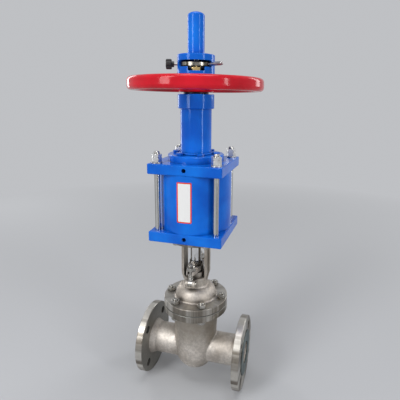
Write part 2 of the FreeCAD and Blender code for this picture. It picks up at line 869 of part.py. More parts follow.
def eyebolts():
    """Swing bolts, one in front and one behind."""
    eye = bar_x(eyebolt_eye_r, -eyebolt_eye_half, eyebolt_eye_half, y=-eyebolt_y, z=eyebolt_z)
    shank = rod(eyebolt_r, eyebolt_z, eyebolt_top, y=-eyebolt_y)
    bore = bar_x(eyebolt_pin_r + slide_fit, -eyebolt_eye_r, eyebolt_eye_r, y=-eyebolt_y, z=eyebolt_z)
    bolt = fuse_all([eye, shank]).cut(bore)
    end = [edge for edge in bolt.Edges if abs(edge.BoundBox.ZMin - eyebolt_top) < near]
    return both_ways(bolt.makeChamfer(thread_edge, end))


def eyebolt_pins():
    """Pins through the lugs, with a head at one end."""
    half = eyebolt_eye_half + lug_gap + lug_thickness
    pin = bar_x(eyebolt_pin_r, -half - eyebolt_pin_end, half, y=-eyebolt_y, z=eyebolt_z)
    head = bar_x(eyebolt_pin_r + pin_head_rim, half, half + pin_head_height, y=-eyebolt_y, z=eyebolt_z)
    return both_ways(pin.fuse(head).removeSplitter())


def gland_nuts():
    """Nuts that press the gland flange down."""
    piece = nut(gland_nut_flats, eyebolt_r, gland_top, gland_top + gland_nut_height)
    return both_ways(moved(piece, y=eyebolt_y))


def valve_stem():
    """Stem with its T-head, backseat collar and threaded top."""
    seat = roof_z - bush_lip - stroke - backseat_gap
    collar_low = seat - backseat_height
    collar = stem_r + backseat_rise
    top = rod_bottom + stem_thread_length
    shank = turned([
        (0, stem_head_bottom), (stem_r, stem_head_bottom), (stem_r, collar_low),
        (collar, collar_low + backseat_rise), (collar, seat - backseat_rise / 2),
        (collar - backseat_rise / 2, seat), (stem_r, seat), (stem_r, top - thread_edge),
        (stem_r - thread_edge, top), (0, top),
    ])
    flat = block(-stem_r, stem_r, stem_neck_flat / 2, stem_r, stem_head_bottom, wedge_top + margin)
    half = stem_head_width / 2
    head = block(-stem_r, stem_r, -half, half, stem_head_bottom, stem_head_top)
    return fuse_all([cut_all(shank, both_ways(flat)), head])


def piston_rod():
    """Rod from the stem to the override thread, stepped down above the piston's seat."""
    groove_r = upper_rod_r - thread_relief
    thread_low = thread_start + 2 * thread_relief
    profile = [
        (0, rod_bottom), (rod_r - thread_edge, rod_bottom), (rod_r, rod_bottom + thread_edge),
        (rod_r, piston_bottom), (upper_rod_r, piston_bottom), (upper_rod_r, thread_start),
        (groove_r, thread_start), (groove_r, thread_low), (upper_rod_r, thread_low + thread_relief),
        (upper_rod_r, rod_top - thread_relief), (groove_r, rod_top), (0, rod_top),
    ]
    return turned(profile).cut(rod(stem_r, rod_bottom - margin, rod_bottom + stem_thread_length))


def end_plate():
    """Upper end plate's blank: a square plate, a round spigot below it, and the side port."""
    low, high = barrel_top, cylinder_top
    plate = block(-plate_half, plate_half, -plate_half, plate_half, low, high)
    plate = plate.makeChamfer(plate_edge, plate.Edges)
    spigot_low = low - plate_spigot
    spigot_wall = barrel_bore_r - spigot_clearance
    spigot = rod(spigot_wall, spigot_low, low + margin)
    groove_r = o_ring_middle_r - o_ring_r - slide_fit
    groove_half = o_ring_r + o_ring_side_gap
    groove_z = low - plate_spigot / 2
    groove = ring(barrel_r, groove_r, groove_z - groove_half, groove_z + groove_half)
    middle = (low + high) / 2
    port_end = port_depth - plate_half
    passage_y = port_end + port_drill_reach
    port_place = FreeCAD.Vector(0, -plate_half, middle)
    mouth = Part.makeCone(port_r + port_edge, port_r, port_edge, port_place, axis_y)
    tools = [
        groove, mouth,
        bar_y(port_r, -plate_half - margin, port_end, z=middle),
        bar_y(port_drill_r, port_end - margin, passage_y, z=middle),
        rod(port_drill_r, spigot_low - margin, middle, y=passage_y),
    ]
    return cut_all(fuse_all([plate, spigot]), tools)


def at_corners(shape):
    """Copies of a shape at the four tie rods."""
    return [moved(shape, x=sx * tie_rod_xy, y=sy * tie_rod_xy) for sx in (-1, 1) for sy in (-1, 1)]


def lower_plate():
    """Lower end plate with the boss that locates it in the yoke, and tapped corner holes."""
    plate = mirrored_z(end_plate(), (cylinder_top + cylinder_bottom) / 2)
    boss_low = cylinder_bottom - lower_boss_height
    plate = fuse_all([plate, rod(lower_boss_r, boss_low, cylinder_bottom + margin)])
    bore = drill(rod_r + rod_bush_wall, boss_low, barrel_bottom + plate_spigot)
    taps = at_corners(rod(tie_rod_r, barrel_bottom - tie_rod_grip, barrel_bottom + margin))
    tap = rod(yoke_bolt_r, cylinder_bottom - margin, cylinder_bottom + yoke_bolt_grip + tap_end)
    taps += around(tap, yoke_bolt_count, yoke_bolt_circle_r, yoke_bolt_turn)
    return cut_all(plate, [bore] + taps)


def upper_plate():
    """Upper end plate with clearance holes for the tie rods and tapped holes for the column."""
    bore = drill(upper_rod_r + rod_bush_wall, barrel_top - plate_spigot, cylinder_top)
    holes = at_corners(drill(tie_rod_r + tie_hole_gap, barrel_top, cylinder_top))
    tap = rod(column_bolt_r, cylinder_top - column_bolt_grip - tap_end, cylinder_top + margin)
    return cut_all(end_plate(), [bore] + holes + around(tap, column_bolt_count, column_bolt_circle_r))


def rod_lip_seal(radius, low):
    """Lip seal round a rod."""
    outer = radius + rod_bush_wall
    inner = radius + slide_fit
    high = low + rod_seal_height
    lip = rod_bush_wall / 2
    return turned([
        (inner, low), (outer, low), (outer, high), (inner + lip, high),
        (inner + lip - lip_edge, high - 2 * lip_edge), (inner, high - lip_edge),
    ])


def barrel_o_rings():
    """Round seals between the barrel and the two plate spigots."""
    levels = (barrel_bottom + plate_spigot / 2, barrel_top - plate_spigot / 2)
    middles = [FreeCAD.Vector(0, 0, level) for level in levels]
    return [Part.makeTorus(o_ring_middle_r, o_ring_r, middle, axis_z) for middle in middles]


def piston():
    """Piston with two seal grooves and a wear ring groove, dished on both faces."""
    outer = barrel_bore_r - piston_clearance
    blank = rod(outer, piston_bottom, piston_top)
    blank = bevelled(blank, piston_edge, [(outer, piston_bottom), (outer, piston_top)])
    seal_low = piston_bottom + seal_edge
    seal_high = piston_top - seal_edge
    wear_low = (piston_bottom + piston_top - wear_ring_height) / 2
    dish = ring(outer - dish_rim, dish_hub_r, piston_top - dish_depth, piston_top + margin)
    tools = [
        ring(barrel_r, outer - seal_depth, seal_low, seal_low + seal_height),
        ring(barrel_r, outer - wear_ring_depth, wear_low, wear_low + wear_ring_height),
        ring(barrel_r, outer - seal_depth, seal_high - seal_height, seal_high),
        dish,
        mirrored_z(dish, (piston_bottom + piston_top) / 2),
        drill(upper_rod_r, piston_bottom, piston_top),
    ]
    return cut_all(blank, tools)


def piston_seals():
    """Lip seals in the piston's outer grooves, with their lips towards the pressure."""
    low = piston_bottom + seal_edge
    high = low + seal_height
    outer = barrel_bore_r - slide_fit
    inner = barrel_bore_r - piston_clearance - seal_depth
    lip = seal_depth / 4
    lower = turned([
        (inner, low), (inner + lip, low), (inner + 2 * lip, low + 2 * lip), (outer - lip, low),
        (outer, low + lip / 2), (outer, low + lip), (outer - lip / 2, high), (inner, high),
    ])
    return [lower, mirrored_z(lower, (piston_bottom + piston_top) / 2)]


def piston_wear_ring():
    """Guide ring round the middle of the piston."""
    low = (piston_bottom + piston_top - wear_ring_height) / 2
    inner = barrel_bore_r - piston_clearance - wear_ring_depth
    return ring(barrel_bore_r - slide_fit, inner, low, low + wear_ring_height)


def tie_rods():
    """Four tie rods, screwed into the lower plate."""
    washer_top = cylinder_top + tie_washer_thickness
    high = washer_top + tie_nut_height + tie_locknut_height + tie_rod_end
    shank = rod(tie_rod_r, barrel_bottom - tie_rod_grip, high)
    return at_corners(bevelled(shank, thread_edge, [(tie_rod_r, high)]))


def tie_rod_nuts(low, height):
    """Nuts of one height on the four tie rods."""
    return at_corners(nut(tie_nut_flats, tie_rod_r, low, low + height, tie_nut_turn))


def column():
    """Column tube with its base flange and weld."""
    inner = column_r - column_wall
    low, high, edge = cylinder_top, column_flange_top, column_flange_edge
    tube = turned([
        (inner, low), (column_flange_r, low), (column_flange_r, high - edge),
        (column_flange_r - edge, high), (column_r + column_weld, high), (column_r, high + column_weld),
        (column_r, column_top), (inner, column_top),
    ])
    hole = drill(column_bolt_r + bolt_hole_gap, low, high)
    return cut_all(tube, around(hole, column_bolt_count, column_bolt_circle_r))


def column_bolts():
    """Hexagon bolts through the column's base flange."""
    head_top = column_flange_top + column_bolt_head
    head = hexagon(column_bolt_flats, column_flange_top, head_top, column_bolt_turn)
    shank = rod(column_bolt_r, cylinder_top - column_bolt_grip, column_flange_top)
    return around(fuse_all([shank, head]), column_bolt_count, column_bolt_circle_r)


def bearing_collar():
    """Cup on top of the column that holds the thrust bearings."""
    cup = rod(collar_r, column_top, collar_top)
    cup = bevelled(cup, collar_edge, [(collar_r, column_top), (collar_r, collar_top)])
    tail_r = column_r - column_wall - slide_fit
    tail_low = column_top - collar_spigot
    tools = [
        rod(tail_r - collar_spigot_wall, tail_low - margin, collar_top),
        rod(bearing_r, chamber_bottom, collar_top),
        rod(cover_r, chamber_top, collar_top + margin),
    ]
    return cut_all(fuse_all([cup, rod(tail_r, tail_low, column_top + margin)]), tools)


def bearing_cover():
    """Threaded ring that closes the bearing cup, with two spanner holes."""
    bore = sleeve_neck_r + neck_gap
    hole = rod(cover_hole_r, collar_top - cover_hole_depth, collar_top + margin)
    return cut_all(ring(cover_r, bore, chamber_top, collar_top), around(hole, 2, (cover_r + bore) / 2))


def bearing_race():
    """Lowest race, flat below and with a shallow ball track on its upper side."""
    high = chamber_bottom + race_thickness
    track_r = ball_r + ball_gap
    track_z = chamber_bottom + bearing_height / 2
    race = ring(race_r, race_bore_r, chamber_bottom, high)
    return race.cut(Part.makeTorus(ball_track_r, track_r, FreeCAD.Vector(0, 0, track_z), axis_z))


def bearing_middles():
    """Mid levels of the lower and the upper thrust bearing."""
    return chamber_bottom + bearing_height / 2, chamber_top - bearing_height / 2


def fixed_races():
    """Races that rest on the cup's floor and under its cover."""
    return [bearing_race(), mirrored_z(bearing_race(), (chamber_bottom + chamber_top) / 2)]


def turning_races():
    """Races that turn with the drive sleeve's flange."""
    lower = mirrored_z(bearing_race(), bearing_middles()[0])
    return [lower, mirrored_z(lower, (chamber_bottom + chamber_top) / 2)]


def ball_cages():
    """One cage for each bearing."""
    outer = ball_track_r + ball_r + cage_wall
    inner = ball_track_r - ball_r - cage_wall
    cages = []
    for middle in bearing_middles():
        low, high = middle - cage_thickness / 2, middle + cage_thickness / 2
        pocket = drill(ball_r + cage_pocket_gap, low, high)
        cages.append(cut_all(ring(outer, inner, low, high), around(pocket, ball_count, ball_track_r)))
    return cages


def bearing_balls():
    """Balls of both bearings."""
    balls = []
    for middle in bearing_middles():
        balls += around(Part.makeSphere(ball_r, FreeCAD.Vector(0, 0, middle)), ball_count, ball_track_r)
    return balls


def drive_sleeve():
    """Sleeve that carries the handwheel, with the flange that runs between the thrust bearings."""
    low = chamber_bottom - sleeve_tail
    shoulder = chamber_top + neck_gap
    flange_r = bearing_r - 2 * bearing_gap
    profile = [
        (sleeve_bore_r, low), (sleeve_r, low), (sleeve_r, sleeve_flange_bottom),
        (flange_r, sleeve_flange_bottom), (flange_r, sleeve_flange_top), (sleeve_r, sleeve_flange_top),
        (sleeve_r, shoulder), (sleeve_neck_r, shoulder), (sleeve_neck_r, hub_bottom),
        (hub_bore_r, hub_bottom), (hub_bore_r, hub_top), (sleeve_bore_r, hub_top),
    ]
    return turned(profile).cut(hub_key())


def hub_key():
    """Key between the drive sleeve and the handwheel's hub."""
    half = key_width / 2
    inner, outer = hub_bore_r - key_height / 2, hub_bore_r + key_height / 2
    low = hub_bottom + key_inset
    return block(inner, outer, -half, half, low, low + key_length)


def hub_locknut():
    """Thin round nut that holds the handwheel down on the sleeve."""
    return ring(hub_nut_r - hub_nut_gap, hub_bore_r, hub_top - hub_nut_height, hub_top)


def rim():
    """Handwheel rim with a rounded rectangular section."""
    low, high = rim_middle - rim_height / 2, rim_middle + rim_height / 2
    inner = wheel_r - rim_width
    places = [(wheel_r, low), (wheel_r, high), (inner, low), (inner, high)]
    return rounded(ring(wheel_r, inner, low, high), rim_corner, places)


def oval(x, width, height, level):
    """Upright oval section of a spoke at a distance from the stem axis."""
    side = FreeCAD.Vector(x, width / 2, level)
    top = FreeCAD.Vector(x, 0, level + height / 2)
    return Part.Wire([Part.Ellipse(side, top, FreeCAD.Vector(x, 0, level)).toShape()])


def spoke():
    """Tapered oval spoke from the hub into the rim."""
    root = oval(hub_r - spoke_bite, spoke_root_width, spoke_root_height, (hub_bottom + hub_top) / 2)
    end = oval(wheel_r - rim_width + spoke_bite, spoke_end_width, spoke_end_height, rim_middle)
    return Part.makeLoft([root, end], True, True)


def carrier_screw_places(shape):
    """Copies of a shape at the carrier's screws."""
    return around(shape, carrier_screw_count, carrier_screw_circle_r, 180.0 / carrier_screw_count)


def handwheel():
    """Handwheel: hub, spokes and rim in one casting."""
    hub = bevelled(rod(hub_r, hub_bottom, hub_top), hub_edge, [(hub_r, hub_bottom)])
    arm = spoke()
    spokes = [spun(arm, spoke_start + 360.0 * k / spoke_count) for k in range(spoke_count)]
    tools = [
        drill(hub_bore_r, hub_bottom, hub_top),
        rod(hub_nut_r, hub_top - hub_nut_height, hub_top + margin),
        hub_key(),
    ]
    tools += carrier_screw_places(rod(carrier_screw_r, hub_top - carrier_screw_grip, hub_top + margin))
    return cut_all(fuse_all([hub, rim()] + spokes), tools)


def sector(radius, start, end, low, high):
    """Upright slice of a disc between two angles."""
    return spun(Part.makeCylinder(radius, high - low, FreeCAD.Vector(0, 0, low), axis_z, end - start), start)


def grub_places(shape):
    """Copies of a shape at the grub screws, kept away from the slot's front."""
    return [spun(shape, 90.0 + 360.0 * k / grub_screw_count) for k in range(grub_screw_count)]


def clutch_housing():
    """Slotted cup on top of the hub, with a T-shaped window for the lever."""
    outer = 2 * housing_r
    cup = rounded(rod(housing_r, hub_top, housing_top), housing_edge, [(housing_r, housing_top)])
    end = math.degrees(slot_height / 2 / housing_r)
    left, right = slot_left + end, slot_right - end
    slot_end = bar_x(slot_height / 2, relief_r, outer, z=slot_middle)
    notch_low = slot_bottom - notch_depth
    notch = block(-notch_half_width, notch_half_width, -outer, -cheek_r, notch_low, slot_middle)
    long_edges = [edge for edge in notch.Edges if edge.BoundBox.YLength > margin]
    corners = [edge for edge in long_edges if edge.BoundBox.ZMax < slot_bottom]
    tools = [
        rod(housing_inner_r, hub_top - margin, roof_bottom),
        drill(tube_r, roof_bottom, housing_top),
        sector(outer, left, right, slot_bottom, slot_bottom + slot_height),
        spun(slot_end, left),
        spun(slot_end, right),
        notch.makeFillet(notch_corner, corners),
        bar_x(lock_stud_r, -outer, -relief_r, z=slot_middle),
    ]
    return cut_all(cup, tools + grub_places(bar_x(grub_screw_r, relief_r, outer, z=carrier_middle)))


def grub_screws():
    """Grub screws that hold the clutch housing to the carrier."""
    screw = bar_x(grub_screw_r, carrier_r - grub_screw_bite, housing_r - grub_screw_sink, z=carrier_middle)
    socket = bar_x(grub_socket_r, housing_r - grub_socket_depth, housing_r, z=carrier_middle)
    return grub_places(screw.cut(socket))


def nut_carrier():
    """Base plate with two cheeks that guide the half-nuts."""
    cheek_top = ring_bottom - guide_clearance
    cheeks = rod(cheek_r, hub_top, cheek_top)
    half = guide_half_width
    guide = block(-half, half, -carrier_r, carrier_r, carrier_top, cheek_top + margin)
    tools = [
        guide,
        drill(sleeve_bore_r, hub_top, cheek_top),
    ]
    tools += carrier_screw_places(drill(carrier_screw_r + screw_gap, hub_top, carrier_top))
    head_low = hub_top + carrier_screw_floor
    tools += carrier_screw_places(rod(carrier_screw_head_r + screw_gap, head_low, cheek_top + margin))
    tools += grub_places(bar_x(grub_screw_r, carrier_r - grub_screw_bite, housing_r, z=carrier_middle))
    return cut_all(fuse_all([rod(carrier_r, hub_top, carrier_top), cheeks]), tools)


def carrier_screws():
    """Socket-head screws that hold the carrier on the hub."""
    head_low = hub_top + carrier_screw_floor
    head_top = head_low + carrier_screw_head
    head = rod(carrier_screw_head_r, head_low, head_top)
    socket = hexagon(carrier_socket_flats, head_top - carrier_screw_floor, head_top + margin)
    shank = rod(carrier_screw_r, hub_top - carrier_screw_grip, head_low)
    return carrier_screw_places(fuse_all([shank, head]).cut(socket))


def half_nut():
    """Front half-nut, drawn in its open place, with the cam pin on top."""
    half = guide_half_width - guide_clearance
    low = carrier_top + guide_clearance
    high = low + half_nut_height
    front = half_nut_reach + half_nut_travel
    blank = block(-half, half, -front, -half_nut_split - half_nut_travel, low, high)
    blank = blank.common(drill(front, low, high))
    thread = drill(upper_rod_r + half_nut_bore_gap, low, high, y=-half_nut_travel)
    pin = rod(cam_pin_r, high - margin, ring_bottom + cam_pin_height, y=-cam_pin_open_r)
    return fuse_all([blank.cut(thread), pin])


def cam_point(turn, offset):
    """Point of the cam slot that meets the pin when the ring has turned, offset outwards."""
    radius = cam_pin_open_r - half_nut_travel * turn / lever_swing + offset
    angle = math.radians(turn - 90)
    return FreeCAD.Vector(radius * math.cos(angle), radius * math.sin(angle), ring_bottom)


def slot_end_arc(turn, sense, width):
    """Round end of the cam slot."""
    middle = cam_point(turn, 0)
    along = FreeCAD.Vector(-middle.y, middle.x, 0).normalize() * width * sense
    return Part.Arc(cam_point(turn, -width), middle + along, cam_point(turn, width)).toShape()


def cam_slot():
    """Spiral slot in the clutch ring that draws a half-nut's pin inwards as the ring turns."""
    width = cam_pin_r + cam_slot_gap
    turns = (0, lever_swing / 2, lever_swing)
    inner = Part.Arc(*[cam_point(turn, -width) for turn in turns]).toShape()
    outer = Part.Arc(*[cam_point(turn, width) for turn in turns]).toShape()
    ends = [slot_end_arc(0, -1, width), slot_end_arc(lever_swing, 1, width)]
    face = Part.Face(Part.Wire(Part.__sortEdges__([inner, outer] + ends)))
    return moved(face.extrude(FreeCAD.Vector(0, 0, clutch_ring_thickness + 2 * margin)), z=-margin)


def clutch_ring():
    """Cam ring: a disc with two spiral slots, a relieved front and a hole for the lever."""
    low, high = ring_bottom - margin, ring_top + margin
    start, end = -90 - relief_half_angle, -90 + relief_half_angle
    relief = sector(housing_r, start, end, low, high).cut(drill(relief_r, low, high))
    half = ring_notch_width / 2
    notch = block(-half, half, -housing_r, ring_notch_depth - relief_r, low, high)
    lever_hole = bar_x(lever_root_r, clutch_ring_r - lever_root, housing_r, z=ring_middle)
    tools = [relief, notch, spun(lever_hole, lever_rest), drill(sleeve_bore_r, ring_bottom, ring_top)]
    return cut_all(rod(clutch_ring_r, ring_bottom, ring_top), tools + both_ways(cam_slot()))


def clutch_lever():
    """Round lever with a ball end, and a thinner root screwed into the cam ring."""
    shoulder = clutch_ring_r + lever_shoulder_gap
    ball_x = lever_tip - lever_r
    root = bar_x(lever_root_r, clutch_ring_r - lever_root, shoulder + margin, z=ring_middle)
    shank = bar_x(lever_r, shoulder, ball_x, z=ring_middle)
    tip = Part.makeSphere(lever_r, FreeCAD.Vector(ball_x, 0, ring_middle))
    return spun(fuse_all([root, shank, tip]), lever_rest)


def lock_stud():
    """Stud that is screwed in against the cam ring to lock it, drawn backed off."""
    tip = clutch_ring_r + lock_travel + slide_fit
    stud = lock_stud_r - slide_fit
    return bar_x(stud, knob_cover - knob_end, -tip, z=slot_middle)


def lock_knob():
    """Star knob on the end of the lock stud."""
    head_start = knob_start + knob_neck_length
    head = bar_x(knob_r, -knob_end, -head_start)
    rims = [edge for edge in head.Edges if isinstance(curve_of(edge), Part.Circle)]
    head = head.makeFillet(knob_edge, rims)
    flute = bar_x(knob_flute_r, -knob_end - margin, -head_start, y=knob_r + knob_flute_out)
    flutes = [spun(flute, 360.0 * (k + 0.5) / knob_lobes, axis_x) for k in range(knob_lobes)]
    neck = bar_x(knob_neck_r, -head_start - margin, -knob_start)
    knob = fuse_all([cut_all(head, flutes), neck])
    return moved(knob.cut(bar_x(lock_stud_r, knob_cover - knob_end, 0)), z=slot_middle)


def cover_tube():
    """Closed tube over the rod's end, with a domed top and a weld at its foot."""
    crown = dome(0.0, tube_r, tube_shoulder, tube_dome)
    outside = fuse_all([rod(tube_r, roof_bottom, tube_shoulder), crown])
    weld_top = housing_top + tube_weld
    weld = turned([(0, housing_top), (tube_r + tube_weld, housing_top), (tube_r, weld_top), (0, weld_top)])
    inside = rod(tube_r - tube_wall, roof_bottom - margin, tube_shoulder - tube_roof)
    return fuse_all([outside, weld]).cut(inside)


def yoke_bolts():
    """Hexagon bolts from below the yoke flange into the lower plate."""
    head = hexagon(bonnet_bolt_flats, yoke_flange_bottom - yoke_bolt_head, yoke_flange_bottom)
    bolt = fuse_all([head, rod(yoke_bolt_r, yoke_flange_bottom, cylinder_bottom + yoke_bolt_grip)])
    return around(bolt, yoke_bolt_count, yoke_bolt_circle_r, yoke_bolt_turn)


def valve_pieces():
    """Valve body, bonnet and gland."""
    outlet_seat = seat_ring()
    export("valve_body", valve_body())
    export("seat_ring_outlet", outlet_seat)
    export("seat_ring_inlet", mirrored_x(outlet_seat))
    export("wedge_gate", wedge_gate())
    export("bonnet_gasket", ring(spigot_r, spigot_r - gasket_width, recess_bottom, spigot_bottom))
    export("bonnet_yoke", bonnet_yoke())
    export("bonnet_bolts", bonnet_bolts())
    export("bonnet_nuts", bonnet_nuts())
    export("backseat_bush", backseat_bush())
    export("packing_rings", packing_rings())
    export("gland_follower", gland_follower())
    export("gland_flange", gland_flange())
    export("gland_eyebolts", eyebolts())
    export("eyebolt_pins", eyebolt_pins())
    export("gland_nuts", gland_nuts())
    export("valve_stem", valve_stem())
    export("stem_locknut", nut(locknut_flats, stem_r, rod_bottom - locknut_height, rod_bottom))


def cylinder_pieces():
    """Air cylinder and its tie rods."""
    wiper_low = cylinder_bottom - lower_boss_height
    bush_low = wiper_low + rod_seal_height
    export("yoke_bolts", yoke_bolts())
    export("lower_plate", lower_plate())
    export("rod_wiper", rod_lip_seal(rod_r, wiper_low))
    export("rod_bush", ring(rod_r + rod_bush_wall, rod_r + slide_fit, bush_low, bush_low + rod_bush_length))
    export("rod_seal", rod_lip_seal(rod_r, bush_low + rod_bush_length))
    export("barrel", ring(barrel_r, barrel_bore_r, barrel_bottom, barrel_top))
    export("barrel_o_rings", barrel_o_rings())
    export("upper_plate", upper_plate())
    seal_low = barrel_top - plate_spigot + upper_seal_inset
    bush_low = seal_low + rod_seal_height
    export("upper_rod_seal", rod_lip_seal(upper_rod_r, seal_low))
    bush_r = upper_rod_r + rod_bush_wall
    export("upper_rod_bush", ring(bush_r, upper_rod_r + slide_fit, bush_low, bush_low + rod_bush_length))
    export("piston_rod", piston_rod())
    export("piston", piston())
    export("piston_seals", piston_seals())
    export("piston_wear_ring", piston_wear_ring())
    export("piston_nut", nut(piston_nut_flats, upper_rod_r, piston_top, piston_nut_top))
    washer_top = cylinder_top + tie_washer_thickness
    washer = ring(tie_washer_r, tie_rod_r + tie_hole_gap, cylinder_top, washer_top)
    export("tie_rods", tie_rods())
    export("tie_rod_washers", at_corners(washer))
    export("tie_rod_nuts", tie_rod_nuts(washer_top, tie_nut_height))
    export("tie_rod_locknuts", tie_rod_nuts(washer_top + tie_nut_height, tie_locknut_height))


def bearing_pieces():
    """Column and thrust bearings."""
    export("column", column())
    export("column_bolts", column_bolts())
    export("bearing_collar", bearing_collar())
    export("bearing_cover", bearing_cover())
    export("fixed_races", fixed_races())
    export("turning_races", turning_races())
    export("ball_cages", ball_cages())
    export("bearing_balls", bearing_balls())


def wheel_pieces():
    """Handwheel and clutch, turned together to their rest position."""
    pieces = {
        "drive_sleeve": [drive_sleeve()],
        "hub_key": [hub_key()],
        "hub_locknut": [hub_locknut()],
        "handwheel": [handwheel()],
        "nut_carrier": [nut_carrier()],
        "carrier_screws": carrier_screws(),
        "half_nut_front": [half_nut()],
        "half_nut_back": [spun(half_nut(), 180)],
        "clutch_ring": [clutch_ring()],
        "clutch_lever": [clutch_lever()],
        "clutch_housing": [clutch_housing()],
        "grub_screws": grub_screws(),
        "lock_stud": [lock_stud()],
        "lock_knob": [lock_knob()],
        "cover_tube": [cover_tube()],
    }
    for name, shapes in pieces.items():
        export(name, [spun(shape, wheel_rest_turn) for shape in shapes])


os.makedirs("parts", exist_ok=True)
valve_pieces()
cylinder_pieces()
bearing_pieces()
wheel_pieces()
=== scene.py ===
import json
import math

import bmesh
import bpy
from mathutils import Matrix, Vector

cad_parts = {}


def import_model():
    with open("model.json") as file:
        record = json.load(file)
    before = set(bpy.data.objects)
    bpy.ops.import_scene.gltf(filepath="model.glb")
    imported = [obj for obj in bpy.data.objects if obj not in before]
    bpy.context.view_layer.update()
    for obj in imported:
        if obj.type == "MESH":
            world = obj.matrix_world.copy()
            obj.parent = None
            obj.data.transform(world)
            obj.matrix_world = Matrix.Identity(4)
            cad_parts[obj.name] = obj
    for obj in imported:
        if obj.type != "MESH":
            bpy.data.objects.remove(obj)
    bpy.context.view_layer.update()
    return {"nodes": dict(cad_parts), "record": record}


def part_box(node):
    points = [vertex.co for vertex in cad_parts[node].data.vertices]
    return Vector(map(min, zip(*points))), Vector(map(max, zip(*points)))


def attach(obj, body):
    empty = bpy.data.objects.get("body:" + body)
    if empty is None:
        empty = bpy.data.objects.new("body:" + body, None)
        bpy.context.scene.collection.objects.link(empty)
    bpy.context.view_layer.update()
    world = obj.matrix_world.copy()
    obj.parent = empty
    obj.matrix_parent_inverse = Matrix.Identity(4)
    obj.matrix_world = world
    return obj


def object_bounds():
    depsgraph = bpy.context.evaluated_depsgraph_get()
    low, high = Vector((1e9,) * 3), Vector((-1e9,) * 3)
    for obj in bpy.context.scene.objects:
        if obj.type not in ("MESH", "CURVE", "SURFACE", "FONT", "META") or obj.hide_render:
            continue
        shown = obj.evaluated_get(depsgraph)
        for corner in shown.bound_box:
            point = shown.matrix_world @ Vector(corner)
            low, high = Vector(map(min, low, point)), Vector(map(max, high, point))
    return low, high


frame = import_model()
nodes = frame["nodes"]

MM = 0.001

# The stem axis and the barrel
barrel_low, barrel_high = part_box("barrel")
stem_x = (barrel_low.x + barrel_high.x) / 2
barrel_r = (barrel_high.x - barrel_low.x) / 2

# The valve body: its pipe flanges, by distance from the stem axis, and its bonnet flange
body_low, body_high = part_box("valve_body")
raised_face_height = 2.0 * MM
pipe_flange_rim = 16.0 * MM
pipe_flange_edge = 1.0 * MM
pipe_flange_r = -body_low.z
pipe_flange_front = body_high.x - stem_x - raised_face_height
pipe_flange_back = pipe_flange_front - pipe_flange_rim
nozzle_foot_r = 40 * MM
body_flange_r = 75 * MM
body_flange_top = body_high.z

# The bonnet and yoke: the gap under the bonnet, the foot of its dome and the yoke's flange
bonnet_gap = 0.8 * MM
dome_foot_r = 52 * MM
yoke_flange_r = 60 * MM

# Where one zone of a casting stops: |x| past the bonnet flange, and levels between flanges
past_bonnet_flange = 80 * MM
under_body_flange = 90 * MM
over_bonnet_flange = 140 * MM
yoke_rim_bottom = 270 * MM

# How far in from its radius a turned rim starts, and how far the dark of the bonnet joint spreads
pipe_rim_depth = 1.2 * MM
rim_depth = 1.1 * MM
joint_spread = 1.2 * MM

# Level at which the painted glints of turned surfaces are taken from the noise
streak_level = 2.1

tie_rod_r = 6 * MM


